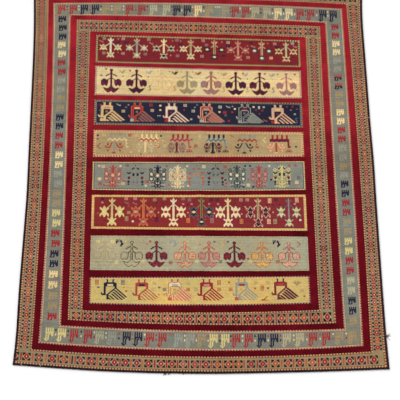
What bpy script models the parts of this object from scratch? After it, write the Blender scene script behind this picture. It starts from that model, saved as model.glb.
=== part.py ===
"""A soumak rug lying flat: one woven body with raised plush bands, and an overcast edge all round.

The rug lies on the plane z = 0 with its length along Y and its front end towards -Y. Its origin is on
the floor under the middle of its bounding box. All tables below are in millimetres.

The rug is described as it is woven. Lengthwise lines run from the back end to the front end, and
crosswise lines run from the left edge to the right edge. Neither kind is straight on a real rug, so
each line has its place at three stations and follows a curve through them. Every corner of the mesh
is the crossing of one lengthwise and one crosswise line.
"""

import bmesh
import bpy
import numpy as np

MM = 0.001
GROUND = 3.8  # thickness of the flat soumak weave
PLUSH = 7.0  # height of the knotted bands over the floor
SHOULDER = 2.5  # width of the slope from the ground up to a plush band
CREASE = 2.4  # height of the fold line that runs down the middle
CREASE_AT = 5.0  # where the fold line lies, across the rug
CREASE_REACH = 26.0  # how far the fold line's slopes go, to each side
BINDING_WIDE = 9.0
BINDING_HIGH = 7.6
GAP = 0.3  # between the woven body and its overcast edge
SOFTENED = 60.0  # the reach over which the outline's table is rounded off

STATIONS_ALONG = (-750.0, 0.0, 750.0)  # front, middle and back, for the lengthwise lines
STATIONS_ACROSS = (-450.0, 0.0, 450.0)  # left, middle and right, for the crosswise lines

# Plush bands that run lengthwise: name, then the left and right side of the band at each station.
# name, left at front, left at middle, left at back, right at front, right at middle, right at back
BANDS_LENGTHWISE = (
    ("outer_left", -680, -679, -696, -656, -655, -675),
    ("middle_left", -566, -577, -591, -541, -549, -565),
    ("inner_left", -480, -491, -500, -455, -464, -473),
    ("inner_right", 466, 462, 463, 498, 491, 489),
    ("middle_right", 566, 559, 559, 596, 586, 581),
    ("outer_right", 674, 672, 666, 702, 700, 686),
)

# Plush bands that run crosswise, from the front to the back.
# name, near side at left, at middle, at right, far side at left, at middle, at right
BANDS_CROSSWISE = (
    ("outer_front", -862, -877, -869, -836, -853, -846),
    ("middle_front", -749, -765, -762, -725, -741, -738),
    ("inner_front", -678, -687, -677, -649, -657, -649),
    ("strip_7", -529, -528, -524, -498, -503, -502),
    ("strip_6", -340, -342, -345, -309, -315, -319),
    ("strip_5", -148, -149, -147, -125, -130, -126),
    ("strip_4", 12, 11, 14, 35, 34, 36),
    ("strip_3", 170, 164, 159, 195, 187, 180),
    ("strip_2", 323, 316, 307, 346, 336, 328),
    ("strip_1", 500, 485, 474, 516, 503, 492),
    ("inner_back", 664, 651, 635, 682, 670, 653),
    ("middle_back", 745, 732, 716, 768, 757, 736),
    ("outer_back", 843, 839, 822, 867, 862, 845),
)

# The left and right outer edge of the rug.
# along, left edge, right edge
SIDES = (
    (-950, -758, 774),
    (-890, -755, 772),
    (-800, -750, 769),
    (-600, -751, 767),
    (-400, -748, 766),
    (-150, -744, 765),
    (0, -747, 766),
    (200, -750, 761),
    (400, -753, 759),
    (600, -757, 757),
    (750, -763, 755),
    (860, -770, 760),
    (950, -774, 764),
)

# The front and back outer edge. The photograph ends before the back edge, which follows the back
# plush band at the same distance as in front.
# across, front edge, back edge
ENDS = (
    (-774, -911, 940),
    (-600, -925, 949),
    (-400, -939, 950),
    (-200, -947, 946),
    (0, -950, 936),
    (100, -950, 928),
    (300, -946, 918),
    (500, -941, 914),
    (700, -934, 909),
    (774, -930, 905),
)

PLAIN_COLUMNS = (-400, -300, -200, -100, 100, 200, 300, 400)  # straight lines across the panels

# The overcast edge's cross-section, as shares of its width (from the outside in) and its height.
# share of width, share of height
BINDING_SECTION = (
    (0.0, 0.0),
    (0.0, 0.42),
    (0.16, 0.82),
    (0.42, 1.0),
    (0.72, 0.94),
    (1.0, 0.60),
    (1.0, 0.0),
)


def clear_scene():
    """Removes whatever the scene holds."""
    for leftover in list(bpy.data.objects):
        bpy.data.objects.remove(leftover, do_unlink=True)


def wool(name, colour, roughness):
    """A plain wool finish: colour is linear red, green and blue."""
    finish = bpy.data.materials.new(name)
    finish.use_nodes = True
    shader = finish.node_tree.nodes["Principled BSDF"]
    shader.inputs["Base Color"].default_value = (*colour, 1.0)
    shader.inputs["Roughness"].default_value = roughness
    shader.inputs["Metallic"].default_value = 0.0
    return finish


def straight_line(place):
    """A line of the weave that doesn't bend, as a function."""
    return lambda at: float(place)


def curve_line(stations, places):
    """A line of the weave, as a function: a parabola through its places at three stations."""
    shape = np.polyfit(stations, places, 2)
    return lambda at: float(np.polyval(shape, at))


def edge_line(table, column, inward):
    """An outer edge of the rug, rounded off, as a function. It is moved by inward."""
    stations = [row[0] for row in table]
    places = [row[column] for row in table]
    around = np.linspace(-SOFTENED, SOFTENED, 7)
    return lambda at: float(np.interp(at + around, stations, places).mean()) + inward


def moved(line, distance):
    """The line that lies beside another one."""
    return lambda at: line(at) + distance


def between(first, second, share=0.5):
    """The line that lies a share of the way from one line to another."""
    return lambda at: first(at) + share * (second(at) - first(at))


def crossing(lengthwise, crosswise):
    """Where two lines of the weave cross. Both are nearly straight, so a few turns settle it."""
    x = y = 0.0
    for _ in range(6):
        x = lengthwise(y)
        y = crosswise(x)
    return x, y


def plush_lines(stations, table):
    """The four lines of each plush band, by its name: foot, top, top and foot.

    Each line comes with the band's name where the band is at its full height, and None at its foot.
    """
    found = {}
    for name, *places in table:
        near, far = curve_line(stations, places[:3]), curve_line(stations, places[3:])
        found[name] = [
            (moved(near, -SHOULDER / 2), None),
            (moved(near, SHOULDER / 2), name),
            (moved(far, -SHOULDER / 2), name),
            (moved(far, SHOULDER / 2), None),
        ]
    return found


def with_lines_between(groups):
    """Puts groups of lines one after the other, with a plain line in the middle of each gap."""
    found = list(groups[0])
    for group in groups[1:]:
        found.append((between(found[-1][0], group[0][0]), None))
        found += group
    return found


def columns():
    """Every lengthwise line of the body, from left to right, with the band it is the top of."""
    bands = plush_lines(STATIONS_ALONG, BANDS_LENGTHWISE)
    inset = BINDING_WIDE + GAP
    left, right = edge_line(SIDES, 1, inset), edge_line(SIDES, 2, -inset)
    fold = [
        (straight_line(CREASE_AT - CREASE_REACH), None),
        (straight_line(CREASE_AT), "crease"),
        (straight_line(CREASE_AT + CREASE_REACH), None),
    ]
    field_left = [(straight_line(x), None) for x in PLAIN_COLUMNS if x < CREASE_AT]
    field_right = [(straight_line(x), None) for x in PLAIN_COLUMNS if x > CREASE_AT]
    field = bands["inner_left"] + field_left + fold + field_right + bands["inner_right"]
    return with_lines_between(
        (
            [(left, None)],
            bands["outer_left"],
            bands["middle_left"] + field + bands["middle_right"],
            bands["outer_right"],
            [(right, None)],
        )
    )


def rows():
    """Every crosswise line of the body, from front to back, with the band it is the top of."""
    bands = plush_lines(STATIONS_ACROSS, BANDS_CROSSWISE)
    inset = BINDING_WIDE + GAP
    front, back = edge_line(ENDS, 1, inset), edge_line(ENDS, 2, -inset)
    return with_lines_between([[(front, None)], *bands.values(), [(back, None)]])


def top_height(column, row, column_names, row_names):
    """The height of the body where a column and a row cross.

    A ring of plush is raised on its own four sides. The strips between the panels are raised from
    one side of the inner ring to the other.
    """
    across, along = column_names[column], row_names[row]
    for ring in ("outer", "middle", "inner"):
        first, last = column_names.index(ring + "_left"), last_of(column_names, ring + "_right")
        low, high = row_names.index(ring + "_front"), last_of(row_names, ring + "_back")
        inside = first <= column <= last and low <= row <= high
        on_side = across in (ring + "_left", ring + "_right")
        on_end = along in (ring + "_front", ring + "_back")
        on_strip = ring == "inner" and along is not None and along.startswith("strip")
        if inside and (on_side or on_end or on_strip):
            return PLUSH
    return GROUND


def last_of(names, name):
    """The place of the last entry that equals name."""
    return len(names) - 1 - names[::-1].index(name)


def finished_object(name, bm, finish):
    """Turns a closed bmesh into the named object."""
    bmesh.ops.recalc_face_normals(bm, faces=bm.faces)
    mesh = bpy.data.meshes.new(name)
    bm.to_mesh(mesh)
    bm.free()
    mesh.materials.append(finish)
    made = bpy.data.objects.new(name, mesh)
    bpy.context.scene.collection.objects.link(made)
    return made


def rug_body(column_lines, row_lines, finish):
    """The woven rug: a sheet with raised bands over a flat underside."""
    column_names = [name for _, name in column_lines]
    row_names = [name for _, name in row_lines]
    bm = bmesh.new()
    wide, long = len(column_lines), len(row_lines)
    grid = bmesh.ops.create_grid(bm, x_segments=wide - 1, y_segments=long - 1, size=1.0)["verts"]
    grid.sort(key=lambda corner: (round(corner.co.y, 4), round(corner.co.x, 4)))
    for k, corner in enumerate(grid):
        row, column = divmod(k, wide)
        x, y = crossing(column_lines[column][0], row_lines[row][0])
        height = top_height(column, row, column_names, row_names)
        if column_names[column] == "crease":
            height += CREASE
        corner.co = (x * MM, y * MM, height * MM)
    rim = [edge for edge in bm.edges if edge.is_boundary]
    walls = bmesh.ops.extrude_edge_only(bm, edges=rim)["geom"]
    for item in walls:
        if isinstance(item, bmesh.types.BMVert):
            item.co.z = 0.0
    foot = [item for item in walls if isinstance(item, bmesh.types.BMEdge) and item.is_boundary]
    bmesh.ops.contextual_create(bm, geom=foot)
    return finished_object("rug_body", bm, finish)


def binding(name, outer, inner, crossers, lengthwise, finish):
    """An overcast edge: its cross-section carried along the rug's outline, flat side down.

    outer and inner are the lines of its two faces, and crossers the lines that it is worked along.
    lengthwise says that outer and inner are lengthwise lines, and the crossers crosswise ones.
    """
    bm = bmesh.new()
    rings = []
    for crosser in crossers:
        places = []
        for share, high in BINDING_SECTION:
            line = between(outer, inner, share)
            x, y = crossing(line, crosser) if lengthwise else crossing(crosser, line)
            places.append((x * MM, y * MM, high * BINDING_HIGH * MM))
        rings.append([bm.verts.new(place) for place in places])
    for here, there in zip(rings, rings[1:]):
        for k in range(len(here)):
            bm.faces.new((here[k - 1], here[k], there[k], there[k - 1]))
    bm.faces.new(rings[0])
    bm.faces.new(rings[-1])
    return finished_object(name, bm, finish)


def overcast_edges(column_lines, row_lines, finish):
    """The four dark edges. Those at the ends reach round the corners, those at the sides fit between."""
    wide = BINDING_WIDE
    left, left_in = edge_line(SIDES, 1, 0.0), edge_line(SIDES, 1, wide)
    right, right_in = edge_line(SIDES, 2, 0.0), edge_line(SIDES, 2, -wide)
    front, front_in = edge_line(ENDS, 1, 0.0), edge_line(ENDS, 1, wide)
    back, back_in = edge_line(ENDS, 2, 0.0), edge_line(ENDS, 2, -wide)
    along = [line for line, _ in row_lines]
    across = [left] + [line for line, _ in column_lines] + [right]
    binding("binding_left", left, left_in, along, True, finish)
    binding("binding_right", right, right_in, along, True, finish)
    binding("binding_front", front, front_in, across, False, finish)
    binding("binding_back", back, back_in, across, False, finish)


def main():
    clear_scene()
    column_lines, row_lines = columns(), rows()
    rug_body(column_lines, row_lines, wool("rug_wool", (0.26, 0.07, 0.06), 0.95))
    overcast_edges(column_lines, row_lines, wool("edge_wool", (0.022, 0.010, 0.014), 0.9))


main()
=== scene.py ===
"""A soumak rug: wrapped-weft panels and borders between raised plush bands, with an overcast edge.

The rug is woven here as it is on the loom. A chart gives each stitch its yarn, and each stitch is
one face of a mesh that follows the rug's own bent lines. Lengths in the tables are millimetres.
"""

import logging
import math
from collections.abc import Callable
from dataclasses import dataclass, field
from enum import Enum
from typing import ClassVar

import bmesh
import bpy
import numpy as np
from mathutils import Matrix, Vector


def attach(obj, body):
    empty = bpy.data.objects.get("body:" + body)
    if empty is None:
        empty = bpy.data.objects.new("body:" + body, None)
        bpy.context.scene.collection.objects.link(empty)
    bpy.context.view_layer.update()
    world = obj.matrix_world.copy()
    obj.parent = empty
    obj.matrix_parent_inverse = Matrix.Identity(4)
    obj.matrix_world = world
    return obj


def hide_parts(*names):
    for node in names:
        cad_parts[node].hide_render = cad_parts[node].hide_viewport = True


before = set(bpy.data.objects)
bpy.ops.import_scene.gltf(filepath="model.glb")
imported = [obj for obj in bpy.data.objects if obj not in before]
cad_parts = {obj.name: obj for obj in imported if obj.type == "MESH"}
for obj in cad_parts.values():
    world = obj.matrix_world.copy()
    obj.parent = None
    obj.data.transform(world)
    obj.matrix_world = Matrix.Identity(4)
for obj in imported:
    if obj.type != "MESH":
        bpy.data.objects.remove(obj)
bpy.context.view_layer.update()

log = logging.getLogger("rug")

MM = 0.001
Line = Callable[[np.ndarray], np.ndarray]


class Yarn(Enum):
    """The dyed wools of the rug, as sRGB hex values."""

    MADDER = "#7d272b"
    MADDER_WARM = "#842d30"
    RED = "#9b2d2e"
    BRICK = "#a5453a"
    RUST = "#b1583a"
    ORANGE = "#c67a48"
    PEACH = "#dba883"
    PINK = "#bf8478"
    CREAM = "#e0c58e"
    IVORY = "#ddcfae"
    STRAW = "#d2bf7c"
    YELLOW = "#cfb26c"
    GOLD = "#c99c52"
    TAN = "#ae966c"
    BEIGE = "#968260"
    FAWN = "#bb9d7e"
    RUSSET = "#9a4f3a"
    UMBER = "#7c4a3a"
    TEAL = "#3f4b4a"
    SAND = "#c8ab7c"
    SAGE = "#aca383"
    OLIVE = "#8f8558"
    TAUPE = "#9d8863"
    MAUVE = "#93706b"
    SLATE = "#7e7d70"
    SLATE_GREEN = "#84857a"
    MIST = "#a3a293"
    GREY = "#949284"
    STEEL = "#5d6468"
    NAVY = "#272738"
    INK = "#1d1c22"
    PLUM = "#472238"
    MAROON = "#682434"


YARNS = list(Yarn)
NUMBER = {yarn: k for k, yarn in enumerate(YARNS)}


def linear(hex_value: str) -> np.ndarray:
    """Turns an sRGB hex value to linear light.

    Args:
        hex_value: The colour, such as "#7d272b".

    Returns:
        Its linear red, green and blue.
    """
    shown = np.array([int(hex_value[k : k + 2], 16) / 255 for k in (1, 3, 5)])
    return np.where(shown <= 0.04045, shown / 12.92, ((shown + 0.055) / 1.055) ** 2.4)


# Plush bands that run lengthwise, at the front, the middle and the back of the rug.
# name, left side at front, middle, back, right side at front, middle, back
BANDS_LENGTHWISE = (
    ("outer_left", -680, -679, -696, -656, -655, -675),
    ("middle_left", -566, -577, -591, -541, -549, -565),
    ("inner_left", -480, -491, -500, -455, -464, -473),
    ("inner_right", 466, 462, 463, 498, 491, 489),
    ("middle_right", 566, 559, 559, 596, 586, 581),
    ("outer_right", 674, 672, 666, 702, 700, 686),
)

# Plush bands that run crosswise, at the left, the middle and the right of the rug.
# name, near side at left, middle, right, far side at left, middle, right
BANDS_CROSSWISE = (
    ("outer_front", -862, -877, -869, -836, -853, -846),
    ("middle_front", -749, -765, -762, -725, -741, -738),
    ("inner_front", -678, -687, -677, -649, -657, -649),
    ("strip_7", -529, -528, -524, -498, -503, -502),
    ("strip_6", -340, -342, -345, -309, -315, -319),
    ("strip_5", -148, -149, -147, -125, -130, -126),
    ("strip_4", 12, 11, 14, 35, 34, 36),
    ("strip_3", 170, 164, 159, 195, 187, 180),
    ("strip_2", 323, 316, 307, 346, 336, 328),
    ("strip_1", 500, 485, 474, 516, 503, 492),
    ("inner_back", 664, 651, 635, 682, 670, 653),
    ("middle_back", 745, 732, 716, 768, 757, 736),
    ("outer_back", 843, 839, 822, 867, 862, 845),
)

# The left and right outer edge: along, left edge, right edge
SIDES = (
    (-950, -758, 774),
    (-890, -755, 772),
    (-800, -750, 769),
    (-600, -751, 767),
    (-400, -748, 766),
    (-150, -744, 765),
    (0, -747, 766),
    (200, -750, 761),
    (400, -753, 759),
    (600, -757, 757),
    (750, -763, 755),
    (860, -770, 760),
    (950, -774, 764),
)

# The front and back outer edge: across, front edge, back edge
ENDS = (
    (-774, -911, 940),
    (-600, -925, 949),
    (-400, -939, 950),
    (-200, -947, 946),
    (0, -950, 936),
    (100, -950, 928),
    (300, -946, 918),
    (500, -941, 914),
    (700, -934, 909),
    (774, -930, 905),
)


def parabola(stations: tuple[float, ...], places: tuple[float, ...]) -> Line:
    """Gives the curve of one weaving line.

    Args:
        stations: Where along the line its places are known.
        places: The line's place at each of them.

    Returns:
        A function from a place along the line to its place across.
    """
    shape = np.polyfit(stations, places, 2)
    return lambda at: np.polyval(shape, at)


def between(first: Line, second: Line, share: float) -> Line:
    """Gives the line that lies a share of the way from one line to another."""
    return lambda at: first(at) + share * (second(at) - first(at))


@dataclass
class Loom:
    """The rug's bent lines, which every piece is woven along.

    A plush band called NAME has the lines NAME.near and NAME.far, named from the left or the front.
    """

    binding_wide: float = 9.0
    gap: float = 0.3
    softened: float = 60.0
    stations_along: tuple[float, ...] = (-750.0, 0.0, 750.0)
    stations_across: tuple[float, ...] = (-450.0, 0.0, 450.0)
    lines: dict[str, Line] = field(default_factory=dict)

    def __post_init__(self) -> None:
        """Works out every line from the tables."""
        for stations, table in (
            (self.stations_along, BANDS_LENGTHWISE),
            (self.stations_across, BANDS_CROSSWISE),
        ):
            for name, *places in table:
                self.lines[name + ".near"] = parabola(stations, places[:3])
                self.lines[name + ".far"] = parabola(stations, places[3:])
        inset = self.binding_wide + self.gap
        for name, table, column, sign in (
            ("left", SIDES, 1, 1),
            ("right", SIDES, 2, -1),
            ("front", ENDS, 1, 1),
            ("back", ENDS, 2, -1),
        ):
            self.lines[name + ".rim"] = self.edge(table, column, 0.0)
            self.lines[name + ".seam"] = self.edge(table, column, sign * self.binding_wide)
            self.lines[name + ".edge"] = self.edge(table, column, sign * inset)

    def edge(self, table: tuple, column: int, inward: float) -> Line:
        """Gives one outer edge of the rug, with its table rounded off.

        Args:
            table: The edge's table.
            column: Which column of it holds the places.
            inward: How far the line is moved.

        Returns:
            The edge as a line.
        """
        stations = [row[0] for row in table]
        places = [row[column] for row in table]
        around = np.linspace(-self.softened, self.softened, 7)

        def line(at: np.ndarray) -> np.ndarray:
            spread = np.asarray(at, float)[..., None] + around
            return np.interp(spread, stations, places).mean(-1) + inward

        return line

    def middle(self, band: str) -> Line:
        """Gives the line down the middle of a plush band."""
        return between(self.lines[band + ".near"], self.lines[band + ".far"], 0.5)

    def line(self, name: str) -> Line:
        """Gives a line by its name."""
        return self.middle(name[:-7]) if name.endswith(".middle") else self.lines[name]


@dataclass
class Patch:
    """A four-sided piece of the rug between two lengthwise and two crosswise lines.

    Row 0 of x and y is its back edge and column 0 its left edge, as a chart is read.
    """

    loom: Loom
    left: str
    right: str
    front: str
    back: str
    columns: int = 0
    rows: int = 0
    stitch: float = 3.0
    row: float = 2.8
    x: np.ndarray = field(init=False)
    y: np.ndarray = field(init=False)

    def __post_init__(self) -> None:
        """Counts the stitches and finds where each of their corners lies."""
        left, right = self.loom.line(self.left), self.loom.line(self.right)
        front, back = self.loom.line(self.front), self.loom.line(self.back)
        x = float(left(0.0) + right(0.0)) / 2
        y = float(front(x) + back(x)) / 2
        wide, long = float(right(y) - left(y)), float(back(x) - front(x))
        self.columns = self.columns or max(1, round(wide / self.stitch))
        self.rows = self.rows or max(1, round(long / self.row))
        across = np.linspace(0.0, 1.0, self.columns + 1)[None, :]
        down = np.linspace(0.0, 1.0, self.rows + 1)[:, None]
        self.x = np.full((self.rows + 1, self.columns + 1), x)
        self.y = np.full((self.rows + 1, self.columns + 1), y)
        for _ in range(5):
            self.x = left(self.y) + across * (right(self.y) - left(self.y))
            self.y = back(self.x) + down * (front(self.x) - back(self.x))

    def column_at(self, x: float) -> float:
        """Gives the stitch column at a place across the rug."""
        return float(np.interp(x, self.x[self.rows // 2], np.arange(self.columns + 1)))

    def centres(self) -> tuple[np.ndarray, np.ndarray]:
        """Gives where the middle of each stitch lies, across and along."""
        return tuple(
            (a[:-1, :-1] + a[1:, :-1] + a[:-1, 1:] + a[1:, 1:]) / 4 for a in (self.x, self.y)
        )


def mirrored(half: str) -> tuple[str, ...]:
    """Completes a chart that is drawn up to its middle column."""
    return tuple(row + row[-2::-1] for row in half.split())


def charted(rows: str) -> tuple[str, ...]:
    """Reads a whole chart."""
    return tuple(rows.split())


def read_rows(table: str) -> list[list[int | Yarn | None]]:
    """Reads a table of whole numbers and yarns, in which a lone dash is no yarn."""
    return [
        [
            None if word == "-" else int(word) if word.lstrip("-").isdigit() else Yarn[word]
            for word in line.split()
        ]
        for line in table.strip().splitlines()
    ]


def rim_of(mask: np.ndarray) -> np.ndarray:
    """Gives the outermost stitches of a mask."""
    ring = np.pad(mask, 1)
    inner = ring[:-2, 1:-1] & ring[2:, 1:-1] & ring[1:-1, :-2] & ring[1:-1, 2:]
    return mask & ~inner


def to_mesh(name: str, bm: bmesh.types.BMesh) -> bpy.types.Mesh:
    """Turns finished bmesh work into a mesh."""
    mesh = bpy.data.meshes.new(name)
    bm.to_mesh(mesh)
    bm.free()
    return mesh


# Charts drawn one by one. A letter is a yarn's part in the motif, and a point leaves the ground.
STAR_SHORT = mirrored("""
.....m m...mm mm..mm mmmmmm .mmmoo ..mooo ..mooo .mmmoo .mmmmm mmmmmm mm..mm m....m
""")
STAR_LONG = mirrored("""
......m .....mm m....mm mm..mmm mmm.mmm mmmmmmm .mmmmmm ..mmmmm ...mmoo ...mooo ...mooo
...mmoo ..mmmmm .mmmmmm mmmmmmm mmm.mmm mm..mmm mm...mm m....mm ......m
""")
STAR_FOOT = mirrored("""
......m .....mm mm..mmm mmm.mmm .mmmmmm ..mmmmm ...mmoo ...mooo ...mmoo ..mmmmm .mmmmmm
mmmmmmm mmm.mmm mm...mm mm....m
""")
LEAF = mirrored("""
....m ....m ...mm m..mm mm.mm mmmmm .mmmm ..mmm ...mm
""")
CARNATION = mirrored("""
..............mm .............mmm .............mmm .............mmm ..............mm
..............mm ..............mm ..............mm .............mmm ...........mmmmm
.........mmmm.mm ........mmmm..mm .......mmm....mm .......mm.....mm ..............mm
..............mm .............mmm ............mmmm ...mmmm....mm.mm ..mmmmmm.mmm..mm
.mmmmmmmmmm...mm mmmmmmmmmmm...mm mmmmmmmmmmm...mm mmmmmmmmmmm...mm mmmmmmmmmmm...mm
mmmmmmmmmmm...mm mmmmmmmmmmm...mm mmmmmmmmmm....mm mmmmmmmmmm....mm .mmmm.mmmm....mm
..mm...mm.....mm ..............mm .............mmm ............mmmm ...mmmm....mmmmm
....mmmmmmmmmmmm .....mmmmmmmmmmm .....mmmmmmmmmmm ......mmmmmmmmmm .......mmmmmmmmm
........mmmmmmm. .........mmmmm.. ..........mmm...
""")
LACE_VASE = mirrored("""
...........mm ...........m. ........m..mm ........mm.mm .......mmmmmm ..m.......mmm .mmm..mo..mmm
mm.m.mo...mmm m...mm..m.mmm mm.mm..mmm.mm .mmm...m..mmm ..m.mm....mmm .mmmm....m.mm mmoomm..mm.mm
m.ooo.m.m..mm m.ooo.m.m.moo m.ooo.mmm.moo mm.oo.m.mmooo .m....m.mmooo .mmmmmm.m.moo mm.mm..mm..mo
m.mm.m..mm.mm m.ooo.m..m.mm m.ooo.m....mm m.ooo.m...mmm mm.o.mm..m.mm .mm.mm..mmm.m ..m.m..mm..mm
.......mm.mmm ....m...mm.mm ...mmmmmmmoom ....m..mmmoom .....o..mmm.m ..o......mmmm ...o....m..mm
....m..mm..mm ...mmmmmmm.mm ....m...mm.mm .........mm.m ........mm..m
""")
DOT_VASE = mirrored("""
............m ............m ............m ............. ............. .........mm.. ........mmm..
.......mmm... .......mm.... ............. ............. ............. ............. mm..mm.......
mmmmmm....... .mmmm...ccc.. ..mm....ccc.. ........ccc.. ........ccc.. ........ccc.. .oooo........
.oooo........ .mmmm........ .mmmm........ ..mm......... ..mm......... ............. .............
.mmm.....m... .mmm......... .mmm......... .mmm.....mm.. ............. .mmm......... .mmm.........
..m..........
""")
HANGING_COMB = charted("""
..mm.mm.mm.mm ..mm.mm.mm.mm ..mm.mm.mm.mm ..mm.mm.mm.mm ..mm.mm.mm.mm ..mm.mm.mm.mm
..mm.mm.mm.mm ..mmmmmmmmmmm ..mmmmmmmmmmm ..mmm.mm.mmmm ..mmm.mmm.mmm ..mm.mmm..mmm
..mm.mm...mmm ..mm.mm....m. ..mm.mm...... ..mm.mm...... ..mm.mm...... m.mm.mm......
mmmm.mm...... .mmmmm....... ..mmm........ ...m.........
""")
STACKED_COMB = charted("""
.mm.mm.mm.mm .mm.mm.mm.mm .mm.mm.mm.mm .mmmmmmmmmmm .mmmmmmmmmmm .mmmmmmmmmmm
.mmm.mm.mmmm .mmm.mm.mmmm .mm..mm..mmm .mm..mm..mm. mmm.mmm..... .mmmmm......
............
""")
BORDER_WIDE = charted("""
nnnn.r.nnnn nnnnprpnnnn nnnprrrpnnn nnprrrrrpnn nprrrrrrrpn pprrrwrrrpp pprrrwrrrpp
nprrrrrrrpn nnprrrrrpnn nnnprrrpnnn nnnnprpnnnn nnnn.r.nnnn
""")
BORDER_TALL = charted("""
nnn.....nnn nnnprrrpnnn nnprrrrrpnn pprrrwrrrpp pprrrwrrrpp nnprrrrrpnn nnnprrrpnnn
nnn.....nnn
""")
SPRAY = mirrored("""
............ss ....oo....mmss ...ommo..mm.ss ..ommmo..mm.ss ..ommmo.mm.oss .o.mmmo.mm.oss
.o..mo..mm..ss mm.o...mm...ss mmm.o.mmm.o.ss .mmmmmmm.o..ss ..mmmmm.oo..ss o..ooo..o...ss
.oo...oo....ss ..o.mm.o....ss ...mmm..o...ss ..ommm.oo...ss ..oomo.o...oss ...ooo....oomm
..........mmmm ...........mmm
""")


class Filler(Enum):
    """The small fillers that are strewn between the motifs."""

    SPECK = charted("mm mm")
    DOT = charted("mmm mmm mmm")
    BOX = charted("mmmmm m.m.m mmmmm m.m.m mmmmm")
    TALL = charted("mmmmm m.m.m mmmmm m.m.m mmmmm m.m.m m.m.m mmmmm")
    STROKES = charted("mm..... .mm..m. ..mmm.. ....mmm")
    CROSS = charted("m.m .m. m.m")
    SMALL_BEAST = charted("m.m...m m.m..mm mmm.mmm mmmmm.m mm..mm. .m..m..")
    BEAST = charted("......m.m. mm....m.mm .mm..mmmmm ..mmmmmmm. .mm.mmmm.. m...mmmm.. ...mmm....")
    TALL_BEAST = charted("""
    m.m.m...... m.m.m.mm... m.mm..mm... mmmmmmmmm.. mmm...mmm.. mm.....mm.. mm.....mmm.
    m......mmmm .......mmmm ......mmmm. ......mmm.. ......mm... .......m...
    """)
    BUSH = charted("....mm.... ..mm..mm.. ..m.mm.m.. .mm.mm.mm. mm.mmmm.mm m.mm..mm.m")
    SCROLL = charted("..mmm .mm.. .m... .mm.. ..m.. ..mm. ...m. ...mm ..mm. mmm..")
    ARROW_RIGHT = charted("m..... mm.... .mm... ..mm.. ...mm. ....mm ...mm. ..mm.. .mm... mm.... m.....")
    ARROW_LEFT = charted(".....m ....mm ...mm. ..mm.. .mm... mm.... .mm... ..mm.. ...mm. ....mm .....m")
    WEDGE = charted("""
    ..mm...mm... ...mm.mm.... mmmmmmmmmmmm .mmm.mmm.mm. ..mmm.mmmm.. ...mmmmmm... ....mmmm....
    .....mm.....
    """)
    BROWS = charted("mm.mm.mm.m .m..m..m.. .m..m..m..")
    BRANCH = charted("........mm .......mm. ......mm.. .....mm... ..m.mm.... .mmmmm.... mmmmmmmmmm")


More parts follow.
